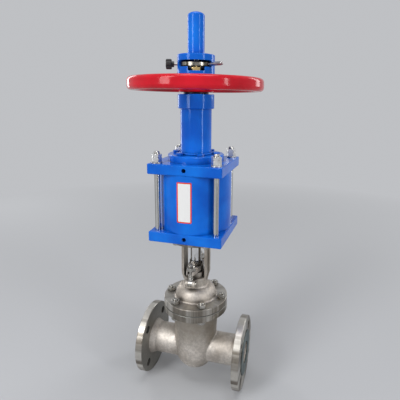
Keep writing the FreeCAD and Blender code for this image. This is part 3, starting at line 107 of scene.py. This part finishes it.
class Look:
    """A procedural material under construction, laid out in the part's own frame."""

    def __init__(self, name, color, metallic=0.0, coat=0.0):
        self.material = bpy.data.materials.new(name)
        self.material.use_nodes = True
        self.tree = self.material.node_tree
        self.shader = self.tree.nodes["Principled BSDF"]
        self.shader.inputs["Base Color"].default_value = (*color, 1.0)
        self.shader.inputs["Metallic"].default_value = metallic
        self.shader.inputs["Coat Weight"].default_value = coat
        self.shader.inputs["Coat Roughness"].default_value = 0.06
        self.place = self.node("TexCoord").outputs["Object"]

    def node(self, kind, inputs=(), **settings):
        """New shader node with its inputs linked or set."""
        made = self.tree.nodes.new("ShaderNode" + kind)
        for key, value in settings.items():
            setattr(made, key, value)
        for key, value in dict(inputs).items():
            self.feed(made.inputs[key], value)
        return made

    def feed(self, socket, value):
        """Links an output to a socket, or sets the socket's value."""
        if isinstance(value, bpy.types.NodeSocket):
            self.tree.links.new(value, socket)
        elif isinstance(value, tuple) and len(value) == 3 and socket.type == "RGBA":
            socket.default_value = (*value, 1.0)
        else:
            socket.default_value = value

    def set(self, name, value):
        """Links or sets one input of the shader."""
        self.feed(self.shader.inputs[name], value)

    def math(self, operation, a, b=0.0):
        """One arithmetic step."""
        return self.node("Math", {0: a, 1: b}, operation=operation).outputs[0]

    def noise(self, scale, detail=2.0, stretch=(1.0, 1.0, 1.0), place=None):
        """Noise with features of about 1 / scale metres."""
        moved = self.node("Mapping", {"Vector": place or self.place, "Scale": stretch}).outputs[0]
        return self.node("TexNoise", {"Vector": moved, "Scale": scale, "Detail": detail}).outputs[0]

    def ramp(self, value, low, high, to_low=0.0, to_high=1.0):
        """Value carried from one range to another, and held at its ends."""
        inputs = {"Value": value, "From Min": low, "From Max": high, "To Min": to_low, "To Max": to_high}
        return self.node("MapRange", inputs).outputs[0]

    def spread(self, noise, to_low=0.0, to_high=1.0):
        """Middle band of a noise carried to a range."""
        return self.ramp(noise, 0.35, 0.65, to_low, to_high)

    def mix(self, factor, a, b):
        """Blend of two numbers or of two colours."""
        colors = isinstance(a, tuple) or getattr(a, "type", "") == "RGBA"
        made = self.node("Mix", data_type="RGBA" if colors else "FLOAT")
        self.feed(made.inputs[0], factor)
        self.feed(made.inputs[6 if colors else 2], a)
        self.feed(made.inputs[7 if colors else 3], b)
        return made.outputs[2 if colors else 0]

    def both(self, a, b):
        """Overlap of two zones."""
        return self.math("MULTIPLY", a, b)

    def outside(self, zone):
        """Everything that a zone leaves out."""
        return self.math("SUBTRACT", 1.0, zone)

    def axes(self):
        """X from the stem axis, y and z of the shaded point."""
        parts = self.node("SeparateXYZ", {0: self.place}).outputs
        return self.math("SUBTRACT", parts[0], stem_x), parts[1], parts[2]

    def length(self, a, b):
        """Length of a pair of distances."""
        return self.math("SQRT", self.math("ADD", self.math("MULTIPLY", a, a), self.math("MULTIPLY", b, b)))

    def above(self, value, level, soft=0.15 * MM):
        """1 where a value is above a level, with a narrow soft edge."""
        return self.ramp(value, level - soft, level + soft)

    def streaks(self, a, b, scale):
        """Noise that changes only with a point's angle about an axis, as glints on a turned surface do."""
        reach = self.length(a, b)
        parts = {0: self.math("DIVIDE", a, reach), 1: self.math("DIVIDE", b, reach), 2: streak_level}
        turn = self.node("CombineXYZ", parts)
        return self.noise(scale, 3.0, place=turn.outputs[0])

    def painted_shade(self, color, shade_tone, reach, most):
        """Painted shade: colour darkened in corners and under neighbours nearer than a reach."""
        shade = self.node("AmbientOcclusion", {"Distance": reach}, samples=8).outputs["AO"]
        return self.mix(self.ramp(shade, 0.30, 0.85, most, 0.0), color, shade_tone)

    def relief(self, steps, edge=0.0):
        """Bumps of (height pattern, depth in metres, strength), over edges eased by a radius."""
        normal = self.node("Bevel", {"Radius": edge}, samples=4).outputs[0] if edge else None
        for height, depth, strength in steps:
            inputs = {"Height": height, "Distance": depth, "Strength": strength}
            if normal:
                inputs["Normal"] = normal
            normal = self.node("Bump", inputs).outputs[0]
        self.set("Normal", normal)


# Tones of the castings
cast_middle = (0.60, 0.57, 0.53)
cast_deep, cast_pale = (0.52, 0.465, 0.405), (0.80, 0.745, 0.68)
# Painted shade at the top of the drum, and a darker tone on the yoke arms
cast_shade_and_dark_tone = (0.24, 0.215, 0.165)
cast_mottle = (0.30, 0.27, 0.24)
cast_grain = (0.24, 0.215, 0.195)
# Dark and pale of the glints painted on turned surfaces
painted_glint_deep, painted_glint_pale = (0.17, 0.15, 0.125), (0.64, 0.615, 0.565)
turned_smudge = (0.36, 0.33, 0.285)
# Painted shade on the backs of the pipe flanges; the dark joints take it too
flange_back_shade = (0.20, 0.20, 0.185)
face_deep, face_pale = (0.075, 0.110, 0.110), (0.12, 0.165, 0.165)
# Painted shade in corners and under neighbours
casting_shade_tone = (0.06, 0.050, 0.040)


def casting(name, zones):
    """Bead-blasted stainless casting with the turned rims, painted glints, painted shade and dark joints of
    its zones.
    """
    look = Look(name, cast_middle, metallic=0.9)
    zone = zones(look)
    turned, glint = zone["turned"], zone["glint"]
    cloud = look.noise(20.0, 4.0)
    smudge = look.noise(75.0, 3.0)
    mottle = look.noise(170.0, 3.0)
    grain = look.noise(1300.0, 2.0)

    cast = look.mix(look.ramp(cloud, 0.38, 0.62), cast_deep, cast_pale)
    # Painted shade at the top of the drum, darker tone on the yoke arms
    cast = look.mix(zone["painted_shade_and_dark_tone"], cast, cast_shade_and_dark_tone)
    cast = look.mix(look.ramp(mottle, 0.40, 0.62, 0.0, 0.30), cast, cast_mottle)
    cast = look.mix(look.ramp(grain, 0.46, 0.70, 0.0, 0.45), cast, cast_grain)
    # Painted glints: turned surfaces dark and pale by their angle about the axis
    bright = look.mix(look.ramp(glint, 0.42, 0.60), painted_glint_deep, painted_glint_pale)
    bright = look.mix(look.spread(smudge, 0.0, 0.35), bright, turned_smudge)
    # Raised faces: teal with painted glints
    face = look.mix(look.ramp(glint, 0.40, 0.62), face_deep, face_pale)
    shown = look.mix(turned, cast, bright)
    # Painted shade on the pipe flange backs, and dark joints
    shown = look.mix(zone["dark"], shown, flange_back_shade)
    shown = look.mix(zone["face"], shown, face)
    # Painted shade in corners and under neighbours
    look.set("Base Color", look.painted_shade(shown, casting_shade_tone, 20 * MM, 0.75))

    turned_rough = look.ramp(glint, 0.40, 0.62, 0.42, 0.36)
    look.set("Roughness", look.mix(turned, look.spread(smudge, 0.50, 0.60), turned_rough))
    look.set("Metallic", look.mix(turned, 0.9, 1.0))

    across, along = zone["lines"]
    lines = look.noise(1500.0, 1.0, place=look.node("CombineXYZ", {0: across, 1: along}).outputs[0])
    swell = look.math("MULTIPLY", look.noise(55.0, 3.0), look.outside(turned))
    height = look.mix(turned, look.math("MULTIPLY", grain, 0.7), look.math("MULTIPLY", lines, 0.3))
    look.relief([(swell, 0.9 * MM, 0.5), (height, 0.18 * MM, 0.8)], edge=0.7 * MM)
    return look.material


def body_zones(look):
    """Turned rims and faces of the valve body, and painted shade on its drum top and the backs of its pipe
    flanges.
    """
    x, y, z = look.axes()
    out = look.math("ABSOLUTE", x)
    flow_r = look.length(y, z)
    stem_r = look.length(x, y)
    end = look.above(out, past_bonnet_flange)
    rim = look.above(flow_r, pipe_flange_r - pipe_rim_depth)
    ends = look.math("MAXIMUM", rim, look.above(out, pipe_flange_front - pipe_flange_edge))
    top = look.both(look.above(stem_r, body_flange_r - rim_depth), look.above(z, under_body_flange))
    behind = look.above(out, pipe_flange_back - 1.0 * MM, soft=1.5 * MM)
    past_nozzle = look.above(flow_r, nozzle_foot_r + 1.0 * MM, soft=1.5 * MM)
    # Painted shade on the backs of the pipe flanges
    back = look.both(look.both(behind, past_nozzle), look.outside(ends))
    joint = look.both(top, look.above(z, body_flange_top - joint_spread))
    return {
        "turned": look.mix(end, top, ends),
        "dark": look.math("MAXIMUM", back, joint),
        "face": look.above(out, pipe_flange_front + 0.5 * MM),
        # Painted shade: darker towards the top of the drum, under the bonnet flange
        "painted_shade_and_dark_tone": look.ramp(z, 15 * MM, 80 * MM, 0.0, 0.60),
        "lines": (look.mix(end, stem_r, flow_r), look.mix(end, z, x)),
        # Painted glints on the turned rims and faces
        "glint": look.mix(end, look.streaks(x, y, 5.0), look.streaks(y, z, 4.0)),
    }


def bonnet_zones(look):
    """Turned rims of both flanges of the bonnet and yoke, and the turned top of the bonnet flange."""
    x, y, z = look.axes()
    stem_r = look.length(x, y)
    high = look.both(look.above(stem_r, yoke_flange_r - rim_depth), look.above(z, yoke_rim_bottom))
    flange = look.math("LESS_THAN", z, over_bonnet_flange)
    low = look.both(look.above(stem_r, dome_foot_r, soft=2 * MM), flange)
    rim = look.above(stem_r, body_flange_r - rim_depth)
    over_joint = look.above(z, body_flange_top + bonnet_gap + joint_spread)
    streaks = look.streaks(x, y, 5.0)
    calm = look.spread(streaks, 0.49, 0.58)
    return {
        "turned": look.math("MAXIMUM", high, low),
        "dark": look.both(look.both(rim, low), look.outside(over_joint)),
        "face": 0.0,
        # Darker tone on the yoke arms
        "painted_shade_and_dark_tone": look.ramp(z, 150 * MM, 185 * MM, 0.0, 0.4),
        "lines": (stem_r, z),
        # Painted glints, calmer on the top of the bonnet flange
        "glint": look.mix(high, look.mix(rim, calm, streaks), streaks),
    }


def plain_zones(look):
    """No turned zone, no painted shade, no dark joint."""
    x, _, z = look.axes()
    return {"turned": 0.0, "dark": 0.0, "face": 0.0, "painted_shade_and_dark_tone": 0.0, "lines": (x, z), "glint": 0.5}


def metal(name, dark, light, rough_low, rough_high, spot=120.0, lines=0.0, grain=0.03 * MM):
    """Bare metal with soft smudges and a fine grain, and level turning lines where a depth is given."""
    look = Look(name, light, metallic=1.0)
    shade_tone = (0.05, 0.045, 0.04)
    shown = look.mix(look.spread(look.noise(spot, 3.0)), dark, light)
    # Painted shade in corners and under neighbours
    look.set("Base Color", look.painted_shade(shown, shade_tone, 3.5 * MM, 0.70))
    look.set("Roughness", look.spread(look.noise(spot * 2.3, 2.0), rough_low, rough_high))
    steps = [(look.noise(2000.0, 1.0), grain, 0.5)]
    if lines:
        steps.append((look.noise(2400.0, 0.0, (0.02, 0.02, 1.0)), lines, 0.6))
    look.relief(steps, edge=0.4 * MM)
    return look.material


def drawn_rods(name, node, radius):
    """Bright drawn bars at the four corners of a square, with painted reflections as light and dark lines
    along them.
    """
    look = Look(name, (0.7, 0.7, 0.69), metallic=1.0)
    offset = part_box(node)[1].x - stem_x - radius
    x, y, _ = look.axes()
    a, b = (look.math("SUBTRACT", look.math("ABSOLUTE", value), offset) for value in (x, y))
    # Painted reflections: light and dark lines along the bars
    painted_reflection = look.ramp(look.streaks(a, b, 3.2), 0.40, 0.60)
    look.set("Base Color", look.mix(painted_reflection, (0.22, 0.22, 0.21), (0.86, 0.86, 0.84)))
    look.set("Roughness", look.spread(look.noise(90.0, 2.0), 0.12, 0.22))
    look.relief([(look.noise(2000.0, 1.0), 0.02 * MM, 0.4)], edge=0.3 * MM)
    return look.material


def paint(name, deep, bright, lumps, glint):
    """Thick gloss paint, slightly uneven in tone, with orange peel and soft lumps."""
    look = Look(name, bright, coat=0.20)
    look.set("Specular IOR Level", 0.16)
    look.set("Specular Tint", (*glint, 1.0))
    shown = look.mix(look.spread(look.noise(14.0, 3.0)), deep, bright)
    # Painted shade in corners and under neighbours
    under = tuple(0.22 * c for c in deep)
    look.set("Base Color", look.painted_shade(shown, under, 12 * MM, 0.60))
    look.set("Roughness", look.spread(look.noise(60.0, 2.0), 0.10, 0.20))
    peel = (look.noise(260.0, 2.0), 0.20 * MM, 0.5)
    look.relief([(look.noise(40.0, 2.0), lumps, 0.5), peel], edge=1.0 * MM)
    return look.material


def moulded(name, dark, light, roughness):
    """Plain rubber or plastic with a fine surface."""
    look = Look(name, dark)
    speck = look.noise(900.0, 2.0)
    look.set("Base Color", look.mix(look.ramp(speck, 0.4, 0.65), dark, light))
    look.set("Roughness", look.spread(look.noise(90.0, 2.0), roughness, roughness + 0.12))
    look.relief([(speck, 0.08 * MM, 0.6)], edge=0.3 * MM)
    return look.material


def braid(name):
    """Plaited graphite packing."""
    look = Look(name, (0.05, 0.05, 0.055))
    waves = [
        look.node("TexWave", {"Vector": look.place, "Scale": scale}, bands_direction=way).outputs["Fac"]
        for scale, way in ((85.0, "DIAGONAL"), (80.0, "Z"))
    ]
    weave = look.math("MULTIPLY", *waves)
    look.set("Base Color", look.mix(weave, (0.03, 0.03, 0.032), (0.16, 0.16, 0.17)))
    look.set("Roughness", look.ramp(weave, 0.0, 1.0, 0.65, 0.4))
    look.relief([(weave, 0.4 * MM, 0.9)])
    return look.material


def printed(name, middle, half_width, half_height, corner, border):
    """Label print: a plain white field inside a coloured border, with no words."""
    white, edging = (0.84, 0.84, 0.83), (0.80, 0.060, 0.006)
    look = Look(name, white)
    look.set("Specular IOR Level", 0.2)
    x, _, z = look.axes()
    past = []
    for value, centre, half in ((x, middle[0], half_width), (z, middle[1], half_height)):
        from_middle = look.math("ABSOLUTE", look.math("SUBTRACT", value, centre))
        past.append(look.math("MAXIMUM", look.math("SUBTRACT", from_middle, half - corner), 0.0))
    on_border = look.above(look.length(*past), corner - border, soft=0.1 * MM)
    look.set("Base Color", look.mix(on_border, white, edging))
    look.set("Roughness", look.spread(look.noise(200.0), 0.30, 0.42))
    look.relief([(look.noise(60.0, 1.0), 0.10 * MM, 0.4)])
    return look.material


looks = {
    "cast_stainless": casting("blasted_casting", plain_zones),
    "machined_stainless": metal(
        "machined_stainless", (0.50, 0.49, 0.47), (0.68, 0.66, 0.64), 0.18, 0.30, lines=0.05 * MM
    ),
    "bolt_steel": metal("bolt_steel", (0.34, 0.325, 0.295), (0.54, 0.525, 0.49), 0.24, 0.34, spot=60.0),
    "chromed_rod": metal("hard_chrome", (0.66, 0.66, 0.66), (0.78, 0.78, 0.78), 0.06, 0.14),
    "graphite": braid("graphite_braid"),
    "rubber": moulded("nitrile", (0.018, 0.018, 0.018), (0.035, 0.035, 0.035), 0.55),
    "bronze": metal("bronze", (0.42, 0.25, 0.11), (0.62, 0.40, 0.20), 0.25, 0.40, lines=0.04 * MM),
    "brass": metal("brass", (0.62, 0.43, 0.16), (0.82, 0.62, 0.28), 0.20, 0.34, lines=0.04 * MM),
    "piston_aluminium": metal(
        "piston_aluminium", (0.62, 0.62, 0.63), (0.76, 0.76, 0.77), 0.25, 0.38, lines=0.05 * MM
    ),
    "wear_plastic": moulded("wear_plastic", (0.62, 0.59, 0.50), (0.72, 0.69, 0.60), 0.45),
    "blue_paint": paint(
        "blue_gloss_paint", (0.0035, 0.100, 0.56), (0.0055, 0.175, 0.76), 0.8 * MM, (0.5, 0.8, 1.0)
    ),
    "red_paint": paint(
        "red_gloss_paint", (0.48, 0.005, 0.014), (0.66, 0.010, 0.024), 0.6 * MM, (1.0, 0.9, 0.9)
    ),
    "oiled_steel": metal("black_oxide", (0.012, 0.014, 0.022), (0.032, 0.035, 0.048), 0.30, 0.44),
    "bearing_steel": metal("ground_steel", (0.55, 0.55, 0.54), (0.70, 0.69, 0.67), 0.14, 0.24),
    "knob_plastic": moulded("knob_plastic", (0.012, 0.012, 0.012), (0.022, 0.022, 0.022), 0.38),
}

# Looks of single nodes, where they differ from those of their material
plated = metal(
    "plated_steel", (0.56, 0.56, 0.56), (0.78, 0.78, 0.78), 0.32, 0.40, spot=25.0, grain=0.004 * MM
)
own_looks = {
    "valve_body": casting("body_casting", body_zones),
    "bonnet_yoke": casting("bonnet_casting", bonnet_zones),
    "tie_rods": drawn_rods("drawn_tie_rods", "tie_rods", tie_rod_r),
    "tie_rod_nuts": plated,
    "tie_rod_locknuts": plated,
    "tie_rod_washers": plated,
    "clutch_lever": metal("lever_steel", (0.30, 0.285, 0.29), (0.50, 0.475, 0.48), 0.20, 0.30, spot=60.0),
    "clutch_ring": metal("cam_ring_steel", (0.20, 0.19, 0.165), (0.50, 0.48, 0.41), 0.20, 0.32, spot=60.0),
}


def dress(piece, material):
    """Gives a piece one material."""
    piece.data.materials.clear()
    piece.data.materials.append(material)


for entry in frame["record"]["subparts"]:
    node = entry["node"]
    dress(nodes[node], own_looks.get(node, looks[entry["material_slot"]]))


def piece_from(name, mesh, body, material):
    """New piece from a mesh under construction, riding on a body."""
    bmesh.ops.recalc_face_normals(mesh, faces=mesh.faces)
    data = bpy.data.meshes.new(name)
    mesh.to_mesh(data)
    mesh.free()
    piece = bpy.data.objects.new(name, data)
    bpy.context.scene.collection.objects.link(piece)
    dress(piece, material)
    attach(piece, body)


def islands(node):
    """Boxes of the separate solids in a CAD node."""
    mesh = bmesh.new()
    mesh.from_mesh(nodes[node].data)
    bmesh.ops.remove_doubles(mesh, verts=mesh.verts, dist=0.001 * MM)
    left = set(mesh.verts)
    boxes = []
    while left:
        found = [left.pop()]
        for vertex in found:
            for edge in vertex.link_edges:
                other = edge.other_vert(vertex)
                if other in left:
                    left.remove(other)
                    found.append(other)
        boxes.append([Vector(pick(v.co[k] for v in found) for k in range(3)) for pick in (min, max)])
    mesh.free()
    return sorted(boxes, key=lambda box: tuple(round(c, 6) for c in box[0]))


def skin(mesh, sections, closed):
    """Surface over a row of sections, each a ring of points."""
    rows = [[mesh.verts.new(point) for point in section] for section in sections]
    count = len(rows[0])
    pairs = list(zip(rows, rows[1:]))
    if closed:
        pairs.append((rows[-1], rows[0]))
    for near, far in pairs:
        for k in range(count):
            mesh.faces.new((near[k], near[(k + 1) % count], far[(k + 1) % count], far[k]))
    if not closed:
        mesh.faces.new(list(reversed(rows[0])))
        mesh.faces.new(rows[-1])


def add_thread(mesh, centre, radius, low, high, pitch, along=Vector((0, 0, 1)), inside=False, height=0.28):
    """Helical ridge on a shank, or in a hole, between two distances from a centre.

    The height is a share of the pitch, as are the other sizes of the ridge.
    """
    side = along.orthogonal().normalized()
    other = along.cross(side)
    per_turn = 22
    fade_steps = 6
    half_foot, half_crest = 0.42, 0.08
    sunk, least = 0.05, 0.02
    end_room = 0.45
    steps = int((high - low - 2 * end_room * pitch) / pitch * per_turn)
    way = -1 if inside else 1
    sections = []
    for step in range(steps + 1):
        angle = 2 * math.pi * step / per_turn
        fade = min(1.0, step / fade_steps, (steps - step) / fade_steps)
        level = low + end_room * pitch + pitch * step / per_turn
        out = side * math.cos(angle) + other * math.sin(angle)
        foot = radius - way * sunk * pitch
        crest = radius + way * pitch * (least + (height - least) * fade)
        profile = ((foot, -half_foot), (crest, -half_crest), (crest, half_crest), (foot, half_foot))
        sections.append([centre + out * r + along * (level + z * pitch) for r, z in profile])
    skin(mesh, sections, closed=False)


def bolt_threads():
    """Threads on the ends that stand out of their nuts, and on the eyebolts below the gland."""
    bevel = 1.0 * MM
    below_gland = 16 * MM
    gland_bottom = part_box("gland_flange")[0].z
    groups = (
        ("tie_rod_threads", "tie_rods", "tie_rod_locknuts", tie_rod_r, 1.75 * MM),
        ("bonnet_bolt_threads", "bonnet_bolts", "bonnet_nuts", 5 * MM, 1.5 * MM),
        ("eyebolt_threads", "gland_eyebolts", "gland_nuts", 5 * MM, 1.5 * MM),
    )
    for name, node, nut_node, radius, pitch in groups:
        mesh = bmesh.new()
        nut_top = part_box(nut_node)[1].z
        for low, high in islands(node):
            centre = Vector(((low.x + high.x) / 2, (low.y + high.y) / 2, 0))
            add_thread(mesh, centre, radius, nut_top, high.z - bevel, pitch)
            if node == "gland_eyebolts":
                add_thread(mesh, centre, radius, gland_bottom - below_gland, gland_bottom, pitch)
        piece_from(name, mesh, "valve", looks["bolt_steel"])


def rod_thread():
    """Override thread on the upper end of the piston rod, seen in the clutch's slot."""
    radius, pitch = 10 * MM, 3.0 * MM
    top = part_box("piston_rod")[1].z
    low, high = top - 92 * MM, top - 2 * MM
    mesh = bmesh.new()
    add_thread(mesh, Vector((stem_x, 0, 0)), radius, low, high, pitch, height=0.065)
    piece_from("override_thread", mesh, "gate_and_piston", looks["chromed_rod"])


def port_threads():
    """Pipe thread inside both air ports."""
    radius, pitch = 4.4 * MM, 0.9 * MM
    start, end = 1 * MM, 12 * MM
    ports = (("lower_port_thread", "lower_plate", 16 * MM), ("upper_port_thread", "upper_plate", 11 * MM))
    for name, node, below_top in ports:
        low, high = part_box(node)
        mesh = bmesh.new()
        centre = Vector((stem_x, low.y, high.z - below_top))
        add_thread(mesh, centre, radius, start, end, pitch, Vector((0, 1, 0)), inside=True)
        piece_from(name, mesh, "valve", looks["blue_paint"])


def weld_bead(name, body, radius, level, size, ripples):
    """Rippled weld bead round the stem axis."""
    mesh = bmesh.new()
    sections = []
    per_ripple = 6
    points = 10
    turns = [2 * math.pi * k / points for k in range(points)]
    for step in range(ripples * per_ripple):
        angle = 2 * math.pi * step / (ripples * per_ripple)
        wave = 0.5 + 0.5 * math.cos(2 * math.pi * (step % per_ripple) / per_ripple)
        drift = 0.06 * math.sin(3 * angle + 1.0) + 0.04 * math.sin(7 * angle)
        swell = size * (0.86 + 0.14 * wave + drift)
        out = Vector((math.cos(angle), math.sin(angle), 0))
        middle = Vector((stem_x, 0, level)) + out * radius
        section = [middle + out * swell * math.cos(t) + Vector((0, 0, swell * math.sin(t))) for t in turns]
        sections.append(section)
    skin(mesh, sections, closed=True)
    piece_from(name, mesh, body, looks["blue_paint"])


def weld_beads():
    """Beads at the foot of the column and at the foot of the cover tube."""
    bolt_head = 5.5 * MM
    column_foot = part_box("column_bolts")[1].z - bolt_head
    weld_bead("column_weld", "valve", 36.3 * MM, column_foot + 2.0 * MM, size=2.3 * MM, ripples=70)
    tube_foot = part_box("clutch_housing")[1].z
    weld_bead("tube_weld", "handwheel_group", 18.9 * MM, tube_foot + 1.2 * MM, size=1.5 * MM, ripples=44)


def label():
    """Bare label on the front of the barrel: a thin sheet with rounded corners."""
    middle = (0.5 * MM, 380.5 * MM)
    half_width, half_height = 16.2 * MM, 43.5 * MM
    corner, border = 3.0 * MM, 2.7 * MM
    lift, thickness = 0.05 * MM, 0.15 * MM
    mesh = bmesh.new()
    columns = 30
    sections = []
    for step in range(columns + 1):
        x = -half_width * math.cos(math.pi * step / columns)
        beyond = max(0.0, abs(x) - (half_width - corner))
        reach = half_height - corner + math.sqrt(max(corner ** 2 - beyond ** 2, 0.0))
        turn = math.asin((middle[0] + x) / barrel_r)
        section = []
        for rise, ends in ((lift, (-reach, reach)), (lift + thickness, (reach, -reach))):
            radius = barrel_r + rise
            for z in ends:
                section.append((stem_x + radius * math.sin(turn), -radius * math.cos(turn), middle[1] + z))
        sections.append(section)
    skin(mesh, sections, closed=False)
    material = printed("label_print", middle, half_width, half_height, corner, border)
    piece_from("label", mesh, "valve", material)


bolt_threads()
rod_thread()
port_threads()
label()
weld_beads()


BACKDROP = (0.52, 0.53, 0.55)


def stage_floor():
    """Pale floor that keeps the shadow and fades into the backdrop's colour."""
    fade_start, fade_end = 0.5, 2.2
    bpy.ops.mesh.primitive_circle_add(vertices=96, radius=9.0, fill_type="NGON")
    floor = bpy.context.object
    floor.name = "floor"
    floor.location = (stem_x, 0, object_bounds()[0].z - 0.5 * MM)
    look = Look("floor", BACKDROP)
    look.set("Roughness", 0.9)
    look.set("Specular IOR Level", 0.0)
    x, y, _ = look.axes()
    from_middle = look.length(look.math("ADD", x, stem_x), y)
    far = look.ramp(from_middle, fade_start, fade_end)
    glow = look.node("Emission", {"Color": (*BACKDROP, 1.0), "Strength": 1.0}).outputs[0]
    mixed = look.node("MixShader", {0: far, 1: look.shader.outputs[0], 2: glow}).outputs[0]
    look.feed(look.tree.nodes["Material Output"].inputs["Surface"], mixed)
    dress(floor, look.material)


def world(ambient):
    """Soft light from all round, with the backdrop's colour for what is seen directly or mirrored."""
    daylight = (0.97, 0.98, 1.0)
    made = bpy.data.worlds.new("studio")
    bpy.context.scene.world = made
    made.use_nodes = True
    tree = made.node_tree
    tree.nodes.clear()
    path = tree.nodes.new("ShaderNodeLightPath")
    seen = path.outputs["Is Camera Ray"]
    for name in ("Is Glossy Ray", "Is Transmission Ray"):
        either = tree.nodes.new("ShaderNodeMath")
        either.operation = "MAXIMUM"
        tree.links.new(seen, either.inputs[0])
        tree.links.new(path.outputs[name], either.inputs[1])
        seen = either.outputs[0]
    lamp, backdrop = (tree.nodes.new("ShaderNodeBackground") for _ in range(2))
    lamp.inputs["Color"].default_value = (*daylight, 1.0)
    lamp.inputs["Strength"].default_value = ambient
    backdrop.inputs["Color"].default_value = (*BACKDROP, 1.0)
    mixed = tree.nodes.new("ShaderNodeMixShader")
    out = tree.nodes.new("ShaderNodeOutputWorld")
    tree.links.new(seen, mixed.inputs[0])
    tree.links.new(lamp.outputs[0], mixed.inputs[1])
    tree.links.new(backdrop.outputs[0], mixed.inputs[2])
    tree.links.new(mixed.outputs[0], out.inputs["Surface"])


def area_light(name, place, target, size, power):
    """Soft box of a width and a height, aimed at a point."""
    data = bpy.data.lights.new(name, "AREA")
    data.shape = "RECTANGLE"
    data.size, data.size_y = size
    data.energy = power
    lamp = bpy.data.objects.new(name, data)
    lamp.location = place
    lamp.rotation_euler = (Vector(target) - Vector(place)).to_track_quat("-Z", "Y").to_euler()
    bpy.context.scene.collection.objects.link(lamp)


def area_lights():
    """Soft boxes round the object, each with its place from the stem axis, its size and its power."""
    middle_of_object = (stem_x, 0.0, 0.34)
    boxes = (
        ("key", (-0.95, -1.65, 1.3), (0.6, 1.8), 27.0),
        ("top", (0.1, -0.3, 2.3), (1.2, 0.8), 14.0),
        ("right_strip", (1.85, -0.85, 0.8), (0.20, 1.5), 11.0),
        ("left_strip", (-1.7, 1.1, 0.9), (0.25, 1.5), 7.5),
        ("back", (1.35, 1.4, 1.2), (0.5, 1.3), 9.0),
    )
    for name, (x, y, z), size, power in boxes:
        area_light(name, (stem_x + x, y, z), middle_of_object, size, power)


def camera():
    """Camera at the photograph's viewing angle."""
    data = bpy.data.cameras.new("photo_camera")
    data.sensor_width = 36.0
    data.lens = 31.86
    data.shift_x = -0.05
    data.shift_y = -0.075
    data.clip_start = 0.01
    made = bpy.data.objects.new("photo_camera", data)
    place = (stem_x + 0.24927, -0.74150, 0.58832)
    forward = Vector((-0.24811, 0.94971, -0.19105)).normalized()
    level = forward.cross(Vector((0, 0, 1))).normalized()
    upright = level.cross(forward)
    roll = math.radians(0.81)
    right = level * math.cos(roll) + upright * math.sin(roll)
    up = upright * math.cos(roll) - level * math.sin(roll)
    turn = Matrix((right, up, -forward)).transposed().to_4x4()
    made.matrix_world = Matrix.Translation(place) @ turn
    bpy.context.scene.collection.objects.link(made)
    bpy.context.scene.camera = made


stage_floor()
world(0.31)
area_lights()
camera()
bpy.context.scene.view_settings.view_transform = "Standard"
